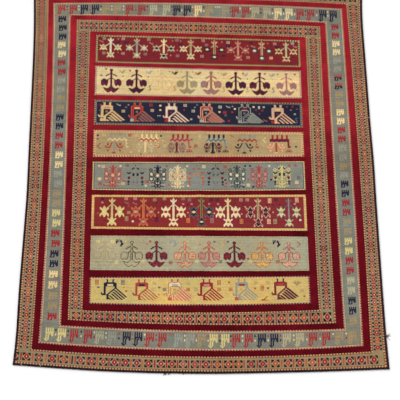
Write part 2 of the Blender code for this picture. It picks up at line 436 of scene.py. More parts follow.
@dataclass
class Chart:
    """The yarn of every stitch in one patch.

    Attributes:
        fleck_share: How many of a flecked motif's stitches are flecks.
        lean: How many stitches each line of a guard is shifted against the one outside it.
        cells: The number of each stitch's yarn, with the back left stitch first.
        chance: Decides which stitches are flecked.
    """

    rows: int
    columns: int
    ground: Yarn
    seed: int
    fleck_share: float = 0.24
    lean: float = 0.6
    cells: np.ndarray = field(init=False)
    chance: np.random.Generator = field(init=False)

    def __post_init__(self) -> None:
        """Fills the chart with its ground."""
        self.cells = np.full((self.rows, self.columns), NUMBER[self.ground])
        self.chance = np.random.default_rng(self.seed)

    def paint(self, mask: np.ndarray, left: float, top: float, yarn: Yarn) -> None:
        """Lays a yarn where a mask says, with the mask's corner at a stitch.

        Args:
            mask: True for each stitch to change.
            left: Column of the mask's left edge.
            top: Row of the mask's back edge.
            yarn: What the stitches become.
        """
        down, across = np.nonzero(mask)
        down, across = down + round(top), across + round(left)
        inside = (down >= 0) & (down < self.rows) & (across >= 0) & (across < self.columns)
        self.cells[down[inside], across[inside]] = NUMBER[yarn]

    def bar(self, left: float, top: float, wide: int, high: int, yarn: Yarn) -> None:
        """Lays a plain bar."""
        self.paint(np.ones((high, wide), bool), left, top, yarn)

    def slant(self, left: float, top: float, step: float, high: int, wide: int, yarn: Yarn) -> None:
        """Lays a bar that moves step columns with each row."""
        for k in range(high):
            self.bar(left + step * k, top + k, wide, 1, yarn)

    def stamp(
        self,
        motif: tuple[str, ...],
        left: float,
        top: float,
        yarns: dict[str, Yarn | None],
        edge: Yarn | None = None,
        fleck: Yarn | None = None,
    ) -> None:
        """Works a charted motif.

        Args:
            motif: The chart.
            left: Column of its left edge.
            top: Row of its back edge.
            yarns: The yarn of each letter. A letter that isn't there, or has none, is left out.
            edge: Yarn of the motif's outermost stitches, if they differ.
            fleck: Yarn of the odd stitch inside, if any.
        """
        letters = np.array([list(row) for row in motif])
        known = [letter for letter, yarn in yarns.items() if yarn is not None]
        whole = np.isin(letters, known)
        for letter in known:
            self.paint(letters == letter, left, top, yarns[letter])
        if fleck is not None:
            odd = self.chance.random(whole.shape) < self.fleck_share
            self.paint(whole & odd, left, top, fleck)
        if edge is not None:
            self.paint(rim_of(whole), left, top, edge)

    def guard(
        self,
        wide: int,
        first: Yarn,
        second: Yarn,
        inset: int = 0,
        pitch: float = 4.0,
        ends: bool = True,
    ) -> None:
        """Works a stripe of two yarns in turn along the sides, like a twisted pole.

        Args:
            wide: How many stitches wide it is.
            first: One of its yarns.
            second: The other.
            inset: How many stitches lie outside it.
            pitch: How many stitches it takes to repeat.
            ends: Whether it runs along the front and back too.
        """
        down, across = np.indices(self.cells.shape)
        beside = np.minimum(across, self.columns - 1 - across)
        ahead = np.minimum(down, self.rows - 1 - down) if ends else beside + 1
        depth = np.minimum(ahead, beside)
        phase = ((np.where(beside < ahead, down, across) + self.lean * depth) / pitch) % 1.0
        ring = (depth >= inset) & (depth < inset + wide)
        self.cells[ring & (phase < 0.5)] = NUMBER[first]
        self.cells[ring & (phase >= 0.5)] = NUMBER[second]

    def strew(self, patch: Patch, fillers: str) -> None:
        """Works small fillers.

        Args:
            patch: Where the chart lies.
            fillers: Lines of a filler, a yarn and its places, each across the rug and by row.
        """
        for line in fillers.strip().splitlines():
            kind, yarn, *places = line.split()
            motif = Filler[kind].value
            for place in places:
                x, row = map(int, place.split(","))
                left = patch.column_at(x) - len(motif[0]) / 2
                self.stamp(motif, left, row - len(motif) / 2, {"m": Yarn[yarn]})


@dataclass
class DyeAndLight:
    """Turns yarns into colours, as uneven as hand-dyed wool, and paints light and shade into the pile's
    crimson.

    Attributes:
        stitch_spread: How much single stitches differ in lightness.
        row_spread: How much neighbouring rows differ, since each takes up a new length of yarn.
        patch_spread: How much whole patches differ.
        patch: How large those patches are.
    """

    stitch_spread: float = 0.085
    row_spread: float = 0.05
    patch_spread: float = 0.08
    patch: float = 95.0
    seed: int = 11
    noise: np.ndarray = field(init=False)

    def __post_init__(self) -> None:
        """Draws the coarse field that all patches are read from."""
        self.noise = np.random.default_rng(self.seed).normal(size=(4, 48, 48))

    def cloud(self, layer: int, x: np.ndarray, y: np.ndarray, reach: float) -> np.ndarray:
        """Gives a soft uneven value for each place.

        Args:
            layer: Which of the fields to read.
            x: Places across the rug.
            y: Places along it.
            reach: How far apart the field's own values are.

        Returns:
            A value for each place, mostly between -1 and 1.
        """
        side = self.noise.shape[1]
        u, v = (x / reach + 20.0) % (side - 1), (y / reach + 20.0) % (side - 1)
        i, j = u.astype(int), v.astype(int)
        f, g = u - i, v - j
        f, g = f * f * (3 - 2 * f), g * g * (3 - 2 * g)
        n = self.noise[layer]
        near = n[j, i] * (1 - f) + n[j, i + 1] * f
        far = n[j + 1, i] * (1 - f) + n[j + 1, i + 1] * f
        return (near * (1 - g) + far * g) * 0.7

    def soumak(self, chart: Chart, patch: Patch) -> np.ndarray:
        """Gives the colour of each stitch of a chart.

        Args:
            chart: The yarns.
            patch: Where they lie.

        Returns:
            Linear colours, a row for each stitch, with the back left stitch first.
        """
        x, y = patch.centres()
        palette = np.array([linear(yarn.value) for yarn in YARNS])
        light = 1.0 + self.stitch_spread * chart.chance.normal(size=x.shape)
        light += self.row_spread * chart.chance.normal(size=(x.shape[0], 1))
        light += self.patch_spread * self.cloud(0, x, y, self.patch)
        light += self.patch_spread * 0.6 * self.cloud(1, x, y, self.patch / 5)
        warmth = 0.05 * self.cloud(2, x, y, self.patch * 1.4)
        colour = palette[chart.cells] * np.clip(light, 0.5, 1.5)[..., None]
        colour[..., 0] *= 1.0 + warmth
        colour[..., 2] *= 1.0 - warmth
        return np.clip(colour, 0.0, 1.0).reshape(-1, 3)

    def plush(self, x: np.ndarray, y: np.ndarray, lengthwise: bool, seed: int) -> np.ndarray:
        """Gives the crimson of the pile, which varies along a band, with painted light that makes it
        lighter towards the back and darker towards the front.

        Args:
            x: Places across the rug.
            y: Places along it.
            lengthwise: Whether the band runs from front to back.
            seed: Decides the odd tuft.

        Returns:
            Linear colours, one for each place.
        """
        # Painted light: the same crimson is made lighter towards the back and darker towards the front, as
        # the light falls on the pile.
        back, middle, front = linear("#971f2a"), linear("#6c0f1a"), linear("#600a16")
        lit_towards_back = np.clip(y / 260.0, 0.0, 1.0)[..., None]
        shaded_towards_front = np.clip(-y / 450.0, 0.0, 1.0)[..., None]
        colour = middle + lit_towards_back * (back - middle) + shaded_towards_front * (front - middle)
        along, over = (y, x) if lengthwise else (x, y)
        light = 1.0 + 0.20 * self.cloud(3, along, over * 0.4, 62.0)
        light += 0.10 * self.cloud(1, along, over, 19.0)
        light += 0.12 * np.random.default_rng(seed).normal(size=x.shape) + 0.22 * lengthwise
        warmth = 0.05 * self.cloud(2, along, over, 45.0)
        colour = colour * np.clip(light, 0.45, 1.7)[..., None]
        colour[..., 1] *= 1.0 + 3.0 * np.clip(warmth, 0.0, 0.2)
        return np.clip(colour, 0.0, 1.0)


def add_node(
    tree: bpy.types.NodeTree, kind: str, links: dict | None = None, **settings: str
) -> bpy.types.Node:
    """Adds one shader node.

    Args:
        tree: Where it goes.
        kind: Its type, without the prefix that all shader nodes share.
        links: For each input, by name or number, its value or the socket that feeds it.
        settings: Properties of the node itself.

    Returns:
        The node.
    """
    node = tree.nodes.new("ShaderNode" + kind)
    for name, value in settings.items():
        setattr(node, name, value)
    for name, value in (links or {}).items():
        if isinstance(value, bpy.types.NodeSocket):
            tree.links.new(value, node.inputs[name])
        else:
            node.inputs[name].default_value = value
    return node


@dataclass(frozen=True)
class WoolFinish:
    """A dyed wool yarn as it lies in one part of the rug.

    The stitch's colour comes from the mesh, with painted light and shade in it on the pile and the overcast
    edge, and fine fibre streaks are laid over it.

    Attributes:
        name: What the finish is called.
        roughness: Wool scatters nearly all light, so this is high.
        sheen: The soft light on the fibre ends, strongest on cut pile.
        fibre: Distance between fibre streaks, in millimetres.
        fibre_depth: How far the fibres stand up, in millimetres.
        streak: How much lighter and darker the fibres are.
        wrapped: Whether each stitch is a slanting wrap, which gives it a rounded ridge.
        uneven_roughness: How much rougher and smoother single fibres are.
        wrap_slant: How far the wraps are turned, in degrees.
        one_to_a_stitch: The wave texture's scale that gives one ridge to each stitch.
        fibre_share: How much the fibres stand out against the wraps.
    """

    name: str
    roughness: float = 0.92
    sheen: float = 0.0
    fibre: float = 0.9
    fibre_depth: float = 0.35
    streak: float = 0.10
    wrapped: bool = False
    uneven_roughness: float = 0.08
    wrap_slant: float = -32.0
    one_to_a_stitch: float = 0.314
    fibre_share: float = 0.35

    def material(self) -> bpy.types.Material:
        """Builds the material."""
        made = bpy.data.materials.new(self.name)
        made.use_nodes = True
        tree = made.node_tree
        shader = tree.nodes["Principled BSDF"]
        shader.inputs["Sheen Weight"].default_value = self.sheen
        shader.inputs["Sheen Roughness"].default_value = 0.55
        shader.inputs["Specular IOR Level"].default_value = 0.06
        place = add_node(tree, "TexCoord")
        # The mesh's corner colours: the yarns' dyes, with painted light and shade on the pile and the
        # overcast edge.
        dyed_and_shaded = add_node(tree, "Attribute", attribute_name="DyeAndShade").outputs["Color"]
        tree.links.new(dyed_and_shaded, shader.inputs["Sheen Tint"])
        scale = 1 / (self.fibre * MM)
        links = {"Vector": place.outputs["Object"], "Scale": scale, "Detail": 2.0}
        fibre = add_node(tree, "TexNoise", links).outputs["Fac"]
        streak = add_node(
            tree,
            "MapRange",
            {
                "Value": fibre,
                "From Min": 0.25,
                "From Max": 0.75,
                "To Min": 1.0 - self.streak,
                "To Max": 1.0 + self.streak,
            },
        )
        links = {0: dyed_and_shaded, "Scale": streak.outputs["Result"]}
        colour = add_node(tree, "VectorMath", links, operation="SCALE")
        tree.links.new(colour.outputs["Vector"], shader.inputs["Base Color"])
        smoothest = self.roughness - self.uneven_roughness
        roughest = min(1.0, self.roughness + self.uneven_roughness)
        links = {"Value": fibre, "To Min": smoothest, "To Max": roughest}
        rough = add_node(tree, "MapRange", links)
        tree.links.new(rough.outputs["Result"], shader.inputs["Roughness"])
        height = self.wraps(tree, fibre) if self.wrapped else fibre
        links = {"Height": height, "Strength": 0.8, "Distance": self.fibre_depth * MM}
        bump = add_node(tree, "Bump", links)
        tree.links.new(bump.outputs["Normal"], shader.inputs["Normal"])
        return made

    def wraps(self, tree: bpy.types.NodeTree, fibre: bpy.types.NodeSocket) -> bpy.types.NodeSocket:
        """Adds the rounded, slanting wrap of each stitch to the height of its fibres.

        Args:
            tree: The material's nodes.
            fibre: The height of the fibres.

        Returns:
            The height of both together.
        """
        stitches = add_node(tree, "UVMap", uv_map="Stitches").outputs["UV"]
        links = {"Vector": stitches, "Rotation": (0.0, 0.0, math.radians(self.wrap_slant))}
        turned = add_node(tree, "Mapping", links).outputs["Vector"]
        wave = {"wave_type": "BANDS", "wave_profile": "SIN"}
        scale = self.one_to_a_stitch
        links = {"Vector": turned, "Scale": scale, "Distortion": 0.6}
        slanting = add_node(tree, "TexWave", links, **wave, bands_direction="X")
        links = {"Vector": stitches, "Scale": scale}
        rows = add_node(tree, "TexWave", links, **wave, bands_direction="Y")
        links = {0: slanting.outputs["Fac"], 1: rows.outputs["Fac"]}
        both = add_node(tree, "Math", links, operation="MULTIPLY").outputs["Value"]
        links = {0: fibre, 1: self.fibre_share, 2: both}
        return add_node(tree, "Math", links, operation="MULTIPLY_ADD").outputs["Value"]


@dataclass
class Mesher:
    """Makes meshes from grids that are bent onto the rug's lines."""

    crease_at: float = 5.0
    crease_reach: float = 26.0
    crease_high: float = 2.4

    def crease(self, x: np.ndarray) -> np.ndarray:
        """Gives how far the fold line down the middle lifts the cloth."""
        return self.crease_high * np.clip(1.0 - np.abs(x - self.crease_at) / self.crease_reach, 0.0, 1.0)

    def grid(self, name: str, columns: int, rows: int, tufted: bool, skirted: bool) -> bpy.types.Mesh:
        """Makes a flat grid whose coordinates count columns and rows, with the back left at 0, 0.

        Args:
            name: The mesh's name.
            columns: How many faces it has across.
            rows: How many it has along.
            tufted: Whether each face rises to a point in its middle, at height 1.
            skirted: Whether its rim is turned down, to height -1.

        Returns:
            The mesh.
        """
        bm = bmesh.new()
        bmesh.ops.create_grid(bm, x_segments=columns, y_segments=rows, size=0.5)
        if tufted:
            middles = bmesh.ops.poke(bm, faces=bm.faces[:])["verts"]
            for middle in middles:
                middle.co.z = 1.0
        if skirted:
            rim = [edge for edge in bm.edges if edge.is_boundary]
            for item in bmesh.ops.extrude_edge_only(bm, edges=rim)["geom"]:
                if isinstance(item, bmesh.types.BMVert):
                    item.co.z = -1.0
        bmesh.ops.scale(bm, vec=(columns, -rows, 1.0), verts=bm.verts)
        bmesh.ops.translate(bm, vec=(columns / 2, rows / 2, 0.0), verts=bm.verts)
        bmesh.ops.reverse_faces(bm, faces=bm.faces)
        return to_mesh(name, bm)

    def read(self, mesh: bpy.types.Mesh) -> np.ndarray:
        """Reads a mesh's corners, a row for each."""
        found = np.empty(len(mesh.vertices) * 3, np.float32)
        mesh.vertices.foreach_get("co", found)
        return found.reshape(-1, 3).astype(float)

    def bend(self, counted: np.ndarray, patch: Patch) -> tuple[np.ndarray, np.ndarray]:
        """Finds where the corners of a counted grid lie on a patch.

        Args:
            counted: The grid's own coordinates.
            patch: The patch, with as many columns and rows as the grid.

        Returns:
            Their places across and along the rug.
        """
        u = np.clip(counted[:, 0], 0, patch.columns)
        v = np.clip(counted[:, 1], 0, patch.rows)
        i = np.minimum(u.astype(int), patch.columns - 1)
        j = np.minimum(v.astype(int), patch.rows - 1)
        f, g = u - i, v - j
        return tuple(
            (a[j, i] * (1 - f) + a[j, i + 1] * f) * (1 - g)
            + (a[j + 1, i] * (1 - f) + a[j + 1, i + 1] * f) * g
            for a in (patch.x, patch.y)
        )

    def place(self, mesh: bpy.types.Mesh, x: np.ndarray, y: np.ndarray, z: np.ndarray) -> None:
        """Moves a mesh's corners to places given in millimetres."""
        mesh.vertices.foreach_set("co", (np.stack([x, y, z], 1) * MM).astype(np.float32).ravel())
        mesh.update()

    def face_of_corner(self, mesh: bpy.types.Mesh) -> np.ndarray:
        """Gives, for each face corner, the number of its face."""
        totals = np.empty(len(mesh.polygons), np.int32)
        mesh.polygons.foreach_get("loop_total", totals)
        return np.repeat(np.arange(len(mesh.polygons)), totals)

    def vertex_of_corner(self, mesh: bpy.types.Mesh) -> np.ndarray:
        """Gives, for each face corner, the number of its vertex."""
        found = np.empty(len(mesh.loops), np.int32)
        mesh.loops.foreach_get("vertex_index", found)
        return found

    def face_cells(self, mesh: bpy.types.Mesh, counted: np.ndarray, patch: Patch) -> np.ndarray:
        """Gives the number of the stitch that each face belongs to."""
        faces, corners = self.face_of_corner(mesh), self.vertex_of_corner(mesh)
        count = np.bincount(faces)
        u = np.bincount(faces, counted[corners, 0]) / count
        v = np.bincount(faces, counted[corners, 1]) / count
        column = np.clip(u.astype(int), 0, patch.columns - 1)
        row = np.clip(v.astype(int), 0, patch.rows - 1)
        return row * patch.columns + column

    def colour_corners(self, mesh: bpy.types.Mesh, by_corner: np.ndarray) -> None:
        """Stores a linear colour for each face corner."""
        layer = mesh.color_attributes.new("DyeAndShade", "FLOAT_COLOR", "CORNER")
        full = np.ones((len(by_corner), 4), np.float32)
        full[:, :3] = by_corner
        layer.data.foreach_set("color", full.ravel())

    def unwrap(self, mesh: bpy.types.Mesh, counted: np.ndarray) -> None:
        """Lays out the piece flat, once to a unit square and once with one unit to a stitch."""
        corners = self.vertex_of_corner(mesh)
        flat = counted[corners, :2]
        low, high = flat.min(0), flat.max(0)
        for name, laid in (("OFBake", (flat - low) / (high - low)), ("Stitches", flat)):
            layer = mesh.uv_layers.new(name=name)
            layer.data.foreach_set("uv", laid.astype(np.float32).ravel())

    def piece(self, mesh: bpy.types.Mesh, finish: bpy.types.Material, smooth: bool) -> bpy.types.Object:
        """Puts a mesh into the scene as a piece of the rug.

        Args:
            mesh: The mesh, with its place in it.
            finish: Its material.
            smooth: Whether it is shaded smooth.

        Returns:
            The piece, which rides on the rug's one body.
        """
        mesh.materials.append(finish)
        mesh.polygons.foreach_set("use_smooth", np.full(len(mesh.polygons), smooth))
        made = bpy.data.objects.new(mesh.name, mesh)
        bpy.context.scene.collection.objects.link(made)
        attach(made, "root")
        log.info("%s: %d faces", mesh.name, len(mesh.polygons))
        return made


@dataclass
class Soumak:
    """The flat weave: every stitch is a face, raised and sunk a little like the wraps of the weft."""

    loom: Loom
    mesher: Mesher
    dye_and_light: DyeAndLight
    finish: bpy.types.Material
    top: float = 3.8
    wrap_high: float = 0.28
    uneven: float = 0.10
    skirt: float = 1.6

    def weave(self, name: str, patch: Patch, chart: Chart) -> bpy.types.Object:
        """Weaves a chart on a patch of the rug.

        Args:
            name: The piece's name.
            patch: Where it lies.
            chart: The yarn of each stitch.

        Returns:
            The piece.
        """
        mesh = self.mesher.grid(name, patch.columns, patch.rows, tufted=False, skirted=True)
        counted = self.mesher.read(mesh)
        x, y = self.mesher.bend(counted, patch)
        odd = (np.rint(counted[:, 0]) + np.rint(counted[:, 1])) % 2
        z = self.top + self.mesher.crease(x) + self.wrap_high * (odd - 0.5)
        z += self.uneven * chart.chance.normal(size=len(z))
        z -= self.skirt * (counted[:, 2] < -0.5)
        self.mesher.place(mesh, x, y, z)
        cells = self.mesher.face_cells(mesh, counted, patch)
        colours = self.dye_and_light.soumak(chart, patch)[cells]
        self.mesher.colour_corners(mesh, colours[self.mesher.face_of_corner(mesh)])
        self.mesher.unwrap(mesh, counted)
        return self.mesher.piece(mesh, self.finish, smooth=True)


@dataclass
class Borders:
    """The beige border, which runs round the rug twice, and the grey ring of hanging combs.

    Attributes:
        cell_wide: How many stitches across a cell of the front and back borders is.
        cell_long: How many stitch rows a cell of the side borders has.
        narrow_cell: The width in stitches up to which a cell is left plain.
        guard_wide: How many stitches wide a guard is.
        open_gap: The gap in stitches from which a further cell is set in.
    """

    loom: Loom
    soumak: Soumak
    front_bars: ClassVar[tuple[int, ...]] = (
        *(-725, -676, -623, -572, -525, -502, -456, -412, -365, -319, -274, -229, -179, -131, -85, -40),
        *(7, 53, 97, 140, 185, 237, 286, 336, 386, 436, 486, 538, 590, 638, 689),
    )
    cell_wide: ClassVar[float] = 15.5
    cell_long: ClassVar[float] = 11.7
    narrow_cell: ClassVar[int] = 11
    guard_wide: ClassVar[int] = 3
    open_gap: ClassVar[int] = 60
    wools: ClassVar[dict[str, Yarn]] = {
        "y": Yarn.STRAW,
        "r": Yarn.RED,
        "n": Yarn.NAVY,
        "c": Yarn.CREAM,
        "g": Yarn.GREY,
        "t": Yarn.TAUPE,
        "i": Yarn.SAGE,
        "x": Yarn.NAVY,
    }

    def cell_yarns(self, chart: Chart) -> dict[str, Yarn]:
        """Picks the yarns of one cell of a beige border, which differ a little from cell to cell."""
        chance = chart.chance
        return {
            "n": (Yarn.NAVY, Yarn.INK, Yarn.NAVY)[chance.integers(3)],
            "r": (Yarn.RED, Yarn.BRICK, Yarn.RED, Yarn.RUST)[chance.integers(4)],
            "p": (Yarn.SAGE, Yarn.TAN, Yarn.TAUPE)[chance.integers(3)],
            "w": (Yarn.IVORY, Yarn.PEACH)[chance.integers(2)],
        }

    def open_corners(
        self, chart: Chart, patch: Patch, joins: tuple[str, str], at_front: bool
    ) -> None:
        """Takes out the inner guard where the border turns a corner, so that its ground runs on.

        Args:
            chart: The chart of the border piece.
            patch: Where it lies.
            joins: The lines that bound the pieces it meets, on the left and on the right.
            at_front: Whether its inner side is its front one.
        """
        depth = self.guard_wide
        row = patch.rows - depth if at_front else 0
        y = patch.y[patch.rows * at_front, [0, -1]]
        first, last = (patch.column_at(self.loom.line(join)(at)) for join, at in zip(joins, y))
        chart.bar(depth, row, round(first) - 2 * depth, depth, chart.ground)
        wide = patch.columns - round(last) - 2 * depth
        chart.bar(round(last) + depth, row, wide, depth, chart.ground)

    def beige_across(
        self,
        name: str,
        lines: tuple[str, str, str, str],
        joins: tuple[str, str],
        seed: int,
        bars: tuple[int, ...] = (),
    ) -> bpy.types.Object:
        """Weaves a beige border piece that runs from left to right.

        Args:
            name: The piece's name.
            lines: Its left, right, front and back line.
            joins: The lines that bound the side pieces it meets.
            seed: Decides its unevenness.
            bars: Where the bars between its cells lie, across the rug, if they aren't evenly spaced.

        Returns:
            The piece.
        """
        patch = Patch(self.loom, *lines)
        chart = Chart(patch.rows, patch.columns, Yarn.BEIGE, seed)
        chart.guard(2, Yarn.SAND, Yarn.UMBER)
        chart.guard(1, Yarn.RUSSET, Yarn.UMBER, inset=2, pitch=50.0)
        self.open_corners(chart, patch, joins, name.endswith("back"))
        top = (patch.rows - len(BORDER_WIDE)) / 2
        high = len(BORDER_WIDE)
        edges = list(np.linspace(4, patch.columns - 4, round((patch.columns - 8) / self.cell_wide) + 1))
        if bars:
            edges = [patch.column_at(x) for x in bars]
            edges = [edges[0] - self.cell_wide, *edges, edges[-1] + self.cell_wide]
        for near, far in zip(edges, edges[1:]):
            middle = (near + far) / 2
            if far - near > self.narrow_cell:
                chart.stamp(BORDER_WIDE, middle - 5.5, top, self.cell_yarns(chart))
            else:
                chart.bar(middle - 1, top, 2, high, Yarn.NAVY)
            if near > edges[0]:
                chart.bar(near - 1, top, 2, high, self.cell_yarns(chart)["r"])
        return self.soumak.weave(name, patch, chart)

    def beige_along(self, name: str, lines: tuple[str, str, str, str], seed: int) -> bpy.types.Object:
        """Weaves a beige border piece that runs from front to back.

        Args:
            name: The piece's name.
            lines: Its left, right, front and back line.
            seed: Decides its unevenness.

        Returns:
            The piece.
        """
        patch = Patch(self.loom, *lines)
        chart = Chart(patch.rows, patch.columns, Yarn.BEIGE, seed)
        chart.guard(2, Yarn.SAND, Yarn.UMBER, ends=False)
        chart.guard(1, Yarn.RUSSET, Yarn.UMBER, inset=2, pitch=50.0, ends=False)
        left = (patch.columns - len(BORDER_TALL[0])) / 2
        pitch = patch.rows / round(patch.rows / self.cell_long)
        for k in range(round(patch.rows / pitch)):
            at = round(pitch * k)
            chart.stamp(BORDER_TALL, left, at + 3, self.cell_yarns(chart))
            chart.bar(left + 2, at, 7, 2, self.cell_yarns(chart)["r"])
        return self.soumak.weave(name, patch, chart)

    def ring_across(
        self,
        name: str,
        lines: tuple[str, str, str, str],
        combs: str,
        places: tuple[int, ...],
        seed: int,
    ) -> bpy.types.Object:
        """Weaves a piece of the grey ring that runs from left to right.

        Args:
            name: The piece's name.
            lines: Its left, right, front and back line.
            combs: The letter of each hanging comb's yarn, from the left.
            places: Where the middle of each comb lies, across the rug.
            seed: Decides its unevenness.

        Returns:
            The piece.
        """
        patch = Patch(self.loom, *lines)
        chart = Chart(patch.rows, patch.columns, Yarn.SLATE, seed)
        chart.guard(2, Yarn.FAWN, Yarn.RED)
        chart.guard(1, Yarn.FAWN, Yarn.SAND, inset=2, pitch=31.0)
        joins = ("middle_left.near", "middle_right.far")
        self.open_corners(chart, patch, joins, name.endswith("back"))
        dots = (Yarn.RED, Yarn.CREAM, Yarn.NAVY, Yarn.BRICK, Yarn.CREAM)
        for letter, place, following in zip(combs, places, (*places[1:], 2 * places[-1])):
            middle = patch.column_at(place)
            fleck = Yarn.BRICK if letter == "r" else None
            chart.stamp(HANGING_COMB, middle - 7.5, 5, {"m": self.wools[letter]}, fleck=fleck)
            between_combs = (middle + patch.column_at(following)) / 2
            if following - place > self.open_gap and following in places:
                chart.stamp(Filler.BROWS.value, between_combs - 4, 6, {"m": dots[chart.chance.integers(4)]})
            elif following in places:
                for row in (7, 14):
                    chart.bar(between_combs - 1, row, 2, 3, dots[chart.chance.integers(len(dots))])
        return self.soumak.weave(name, patch, chart)

    def ring_along(
        self, name: str, lines: tuple[str, str, str, str], combs: str, seed: int
    ) -> bpy.types.Object:
        """Weaves a piece of the grey ring that runs from back to front.

        Args:
            name: The piece's name.
            lines: Its left, right, front and back line.
            combs: The letter of each comb's yarn, from the back.
            seed: Decides its unevenness.

        Returns:
            The piece.
        """
        patch = Patch(self.loom, *lines)
        chart = Chart(patch.rows, patch.columns, Yarn.SLATE, seed)
        chart.guard(2, Yarn.FAWN, Yarn.RED, ends=False)
        chart.guard(1, Yarn.FAWN, Yarn.SAND, inset=2, pitch=31.0, ends=False)
        pitch = (patch.rows - 2) / len(combs)
        left = (patch.columns - len(STACKED_COMB[0])) / 2
        for k, letter in enumerate(combs):
            place = (left + chart.chance.random(), 1 + pitch * k)
            chart.stamp(STACKED_COMB, *place, {"m": self.wools[letter]})
            if letter == "x":
                chart.stamp(STACKED_COMB[:5], *place, {"m": Yarn.BRICK})
        return self.soumak.weave(name, patch, chart)

    def build(self) -> list[bpy.types.Object]:
        """Weaves all the borders."""
        front = "yyrrignnrrggtyyrrnniirrtt"
        front_places = (-613, -561, -510, -454, -406, -356, -297, -248, -199, -148, -82, -35, 14)
        front_places += (61, 109, 154, 204, 259, 310, 362, 415, 470, 523, 578, 630)
        back = "rrnnttrriinncttrriiccrrnn"
        back_places = (-638, -584, -532, -480, -430, -377, -320, -265, -211, -149, -102, -55, -3)
        back_places += (49, 124, 169, 216, 262, 315, 367, 418, 469, 518, 574, 622)
        left = "nnnccrrggttnnrrccggttyyrrnnccttr"
        right = "rrccggxxttccrrggtgnnrrttyyrriinnt"
        pieces = []
        for rank, outside in (
            ("outer", ("left.edge", "right.edge", "front.edge", "back.edge")),
            ("inner", ("middle_left.far", "middle_right.near", "middle_front.far", "middle_back.near")),
        ):
            sides = {side: rank + "_" + side for side in ("left", "right", "front", "back")}
            near_left, near_right = sides["left"] + ".near", sides["right"] + ".far"
            front_line, back_line = sides["front"] + ".near", sides["back"] + ".far"
            pieces += [
                self.beige_across(
                    rank + "_border_front",
                    (outside[0], outside[1], outside[2], front_line),
                    (near_left, near_right),
                    21,
                    self.front_bars if rank == "outer" else (),
                ),
                self.beige_across(
                    rank + "_border_back",
                    (outside[0], outside[1], back_line, outside[3]),
                    (near_left, near_right),
                    22,
                ),
                self.beige_along(
                    rank + "_border_left", (outside[0], near_left, front_line, back_line), 23
                ),
                self.beige_along(
                    rank + "_border_right", (near_right, outside[1], front_line, back_line), 24
                ),
            ]
        wide = ("outer_left.far", "outer_right.near")
        tall = ("middle_front.near", "middle_back.far")
        pieces += [
            self.ring_across(
                "comb_ring_front", (*wide, "outer_front.far", tall[0]), front, front_places, 31
            ),
            self.ring_across(
                "comb_ring_back", (*wide, tall[1], "outer_back.near"), back, back_places, 32
            ),
            self.ring_along("comb_ring_left", (wide[0], "middle_left.near", *tall), left, 33),
            self.ring_along("comb_ring_right", ("middle_right.far", wide[1], *tall), right, 34),
        ]
        return pieces


class Guard(Enum):
    """How a panel is edged: the yarns of its slanted stripe, its width and its inner line."""

    OLIVE_NAVY = (Yarn.STRAW, Yarn.INK, 3, None)
    CREAM_RED = (Yarn.IVORY, Yarn.RED, 3, None)
    GREY_NAVY = (Yarn.TAN, Yarn.NAVY, 3, Yarn.STEEL)
    CREAM_BRICK = (Yarn.CREAM, Yarn.BRICK, 3, Yarn.SAND)
    CREAM_LINE = (Yarn.CREAM, Yarn.TAN, 2, Yarn.TEAL)
    GOLD_CREAM = (Yarn.CREAM, Yarn.GOLD, 3, Yarn.GOLD)
    PALE_LINE = (Yarn.CREAM, Yarn.SAGE, 1, None)
    NAVY_LINE = (Yarn.NAVY, Yarn.PINK, 2, None)


@dataclass(frozen=True)
class Peacock:
    """How the birds of a panel are drawn, in stitches.

    Attributes:
        neck: How wide the neck and the crest's plumes are.
        feather: How wide a feather is.
        pace: How many rows lie between the starts of two feathers.
        reach: How many rows the longest feather covers.
        taper: How many rows shorter each following feather is.
    """

    neck: int = 4
    feather: int = 4
    pace: float = 3.9
    reach: int = 17
    taper: float = 0.0

    def masks(self) -> tuple[np.ndarray, np.ndarray, np.ndarray]:
        """Gives the stitches of the body, of the feathers and of the feathers' middles."""
        body = np.zeros((35, 46), bool)
        plume = self.neck - 1
        body[0:6, 8 : 8 + plume] = body[0:6, 16 : 16 + plume] = True
        body[0, 7 : 8 + plume] = body[0, 16 : 17 + plume] = True
        body[5:7, 6:20] = body[6:12, 4:22] = True
        body[12:27, 4 : 4 + self.neck] = body[12:16, 22 - self.neck : 22] = True
        body[24:27, 1:5] = body[22:25, 0:2] = True
        for k in range(12):
            start = round(18.5 - 1.05 * k)
            body[15 + k, start : start + self.neck] = True
        body[26:34, 8 : 8 + self.neck] = True
        vanes, shafts = np.zeros_like(body), np.zeros_like(body)
        for k in range(6):
            row, column = round(15 + self.pace * k), round(20.5 - 2.3 * k)
            for step in range(min(self.reach - round(self.taper * k), 34 - row)):
                at = column + step
                vanes[row + step, at : at + self.feather] = True
                shafts[row + step, at + 1 : at + self.feather - 1] = True
        return body, vanes, shafts


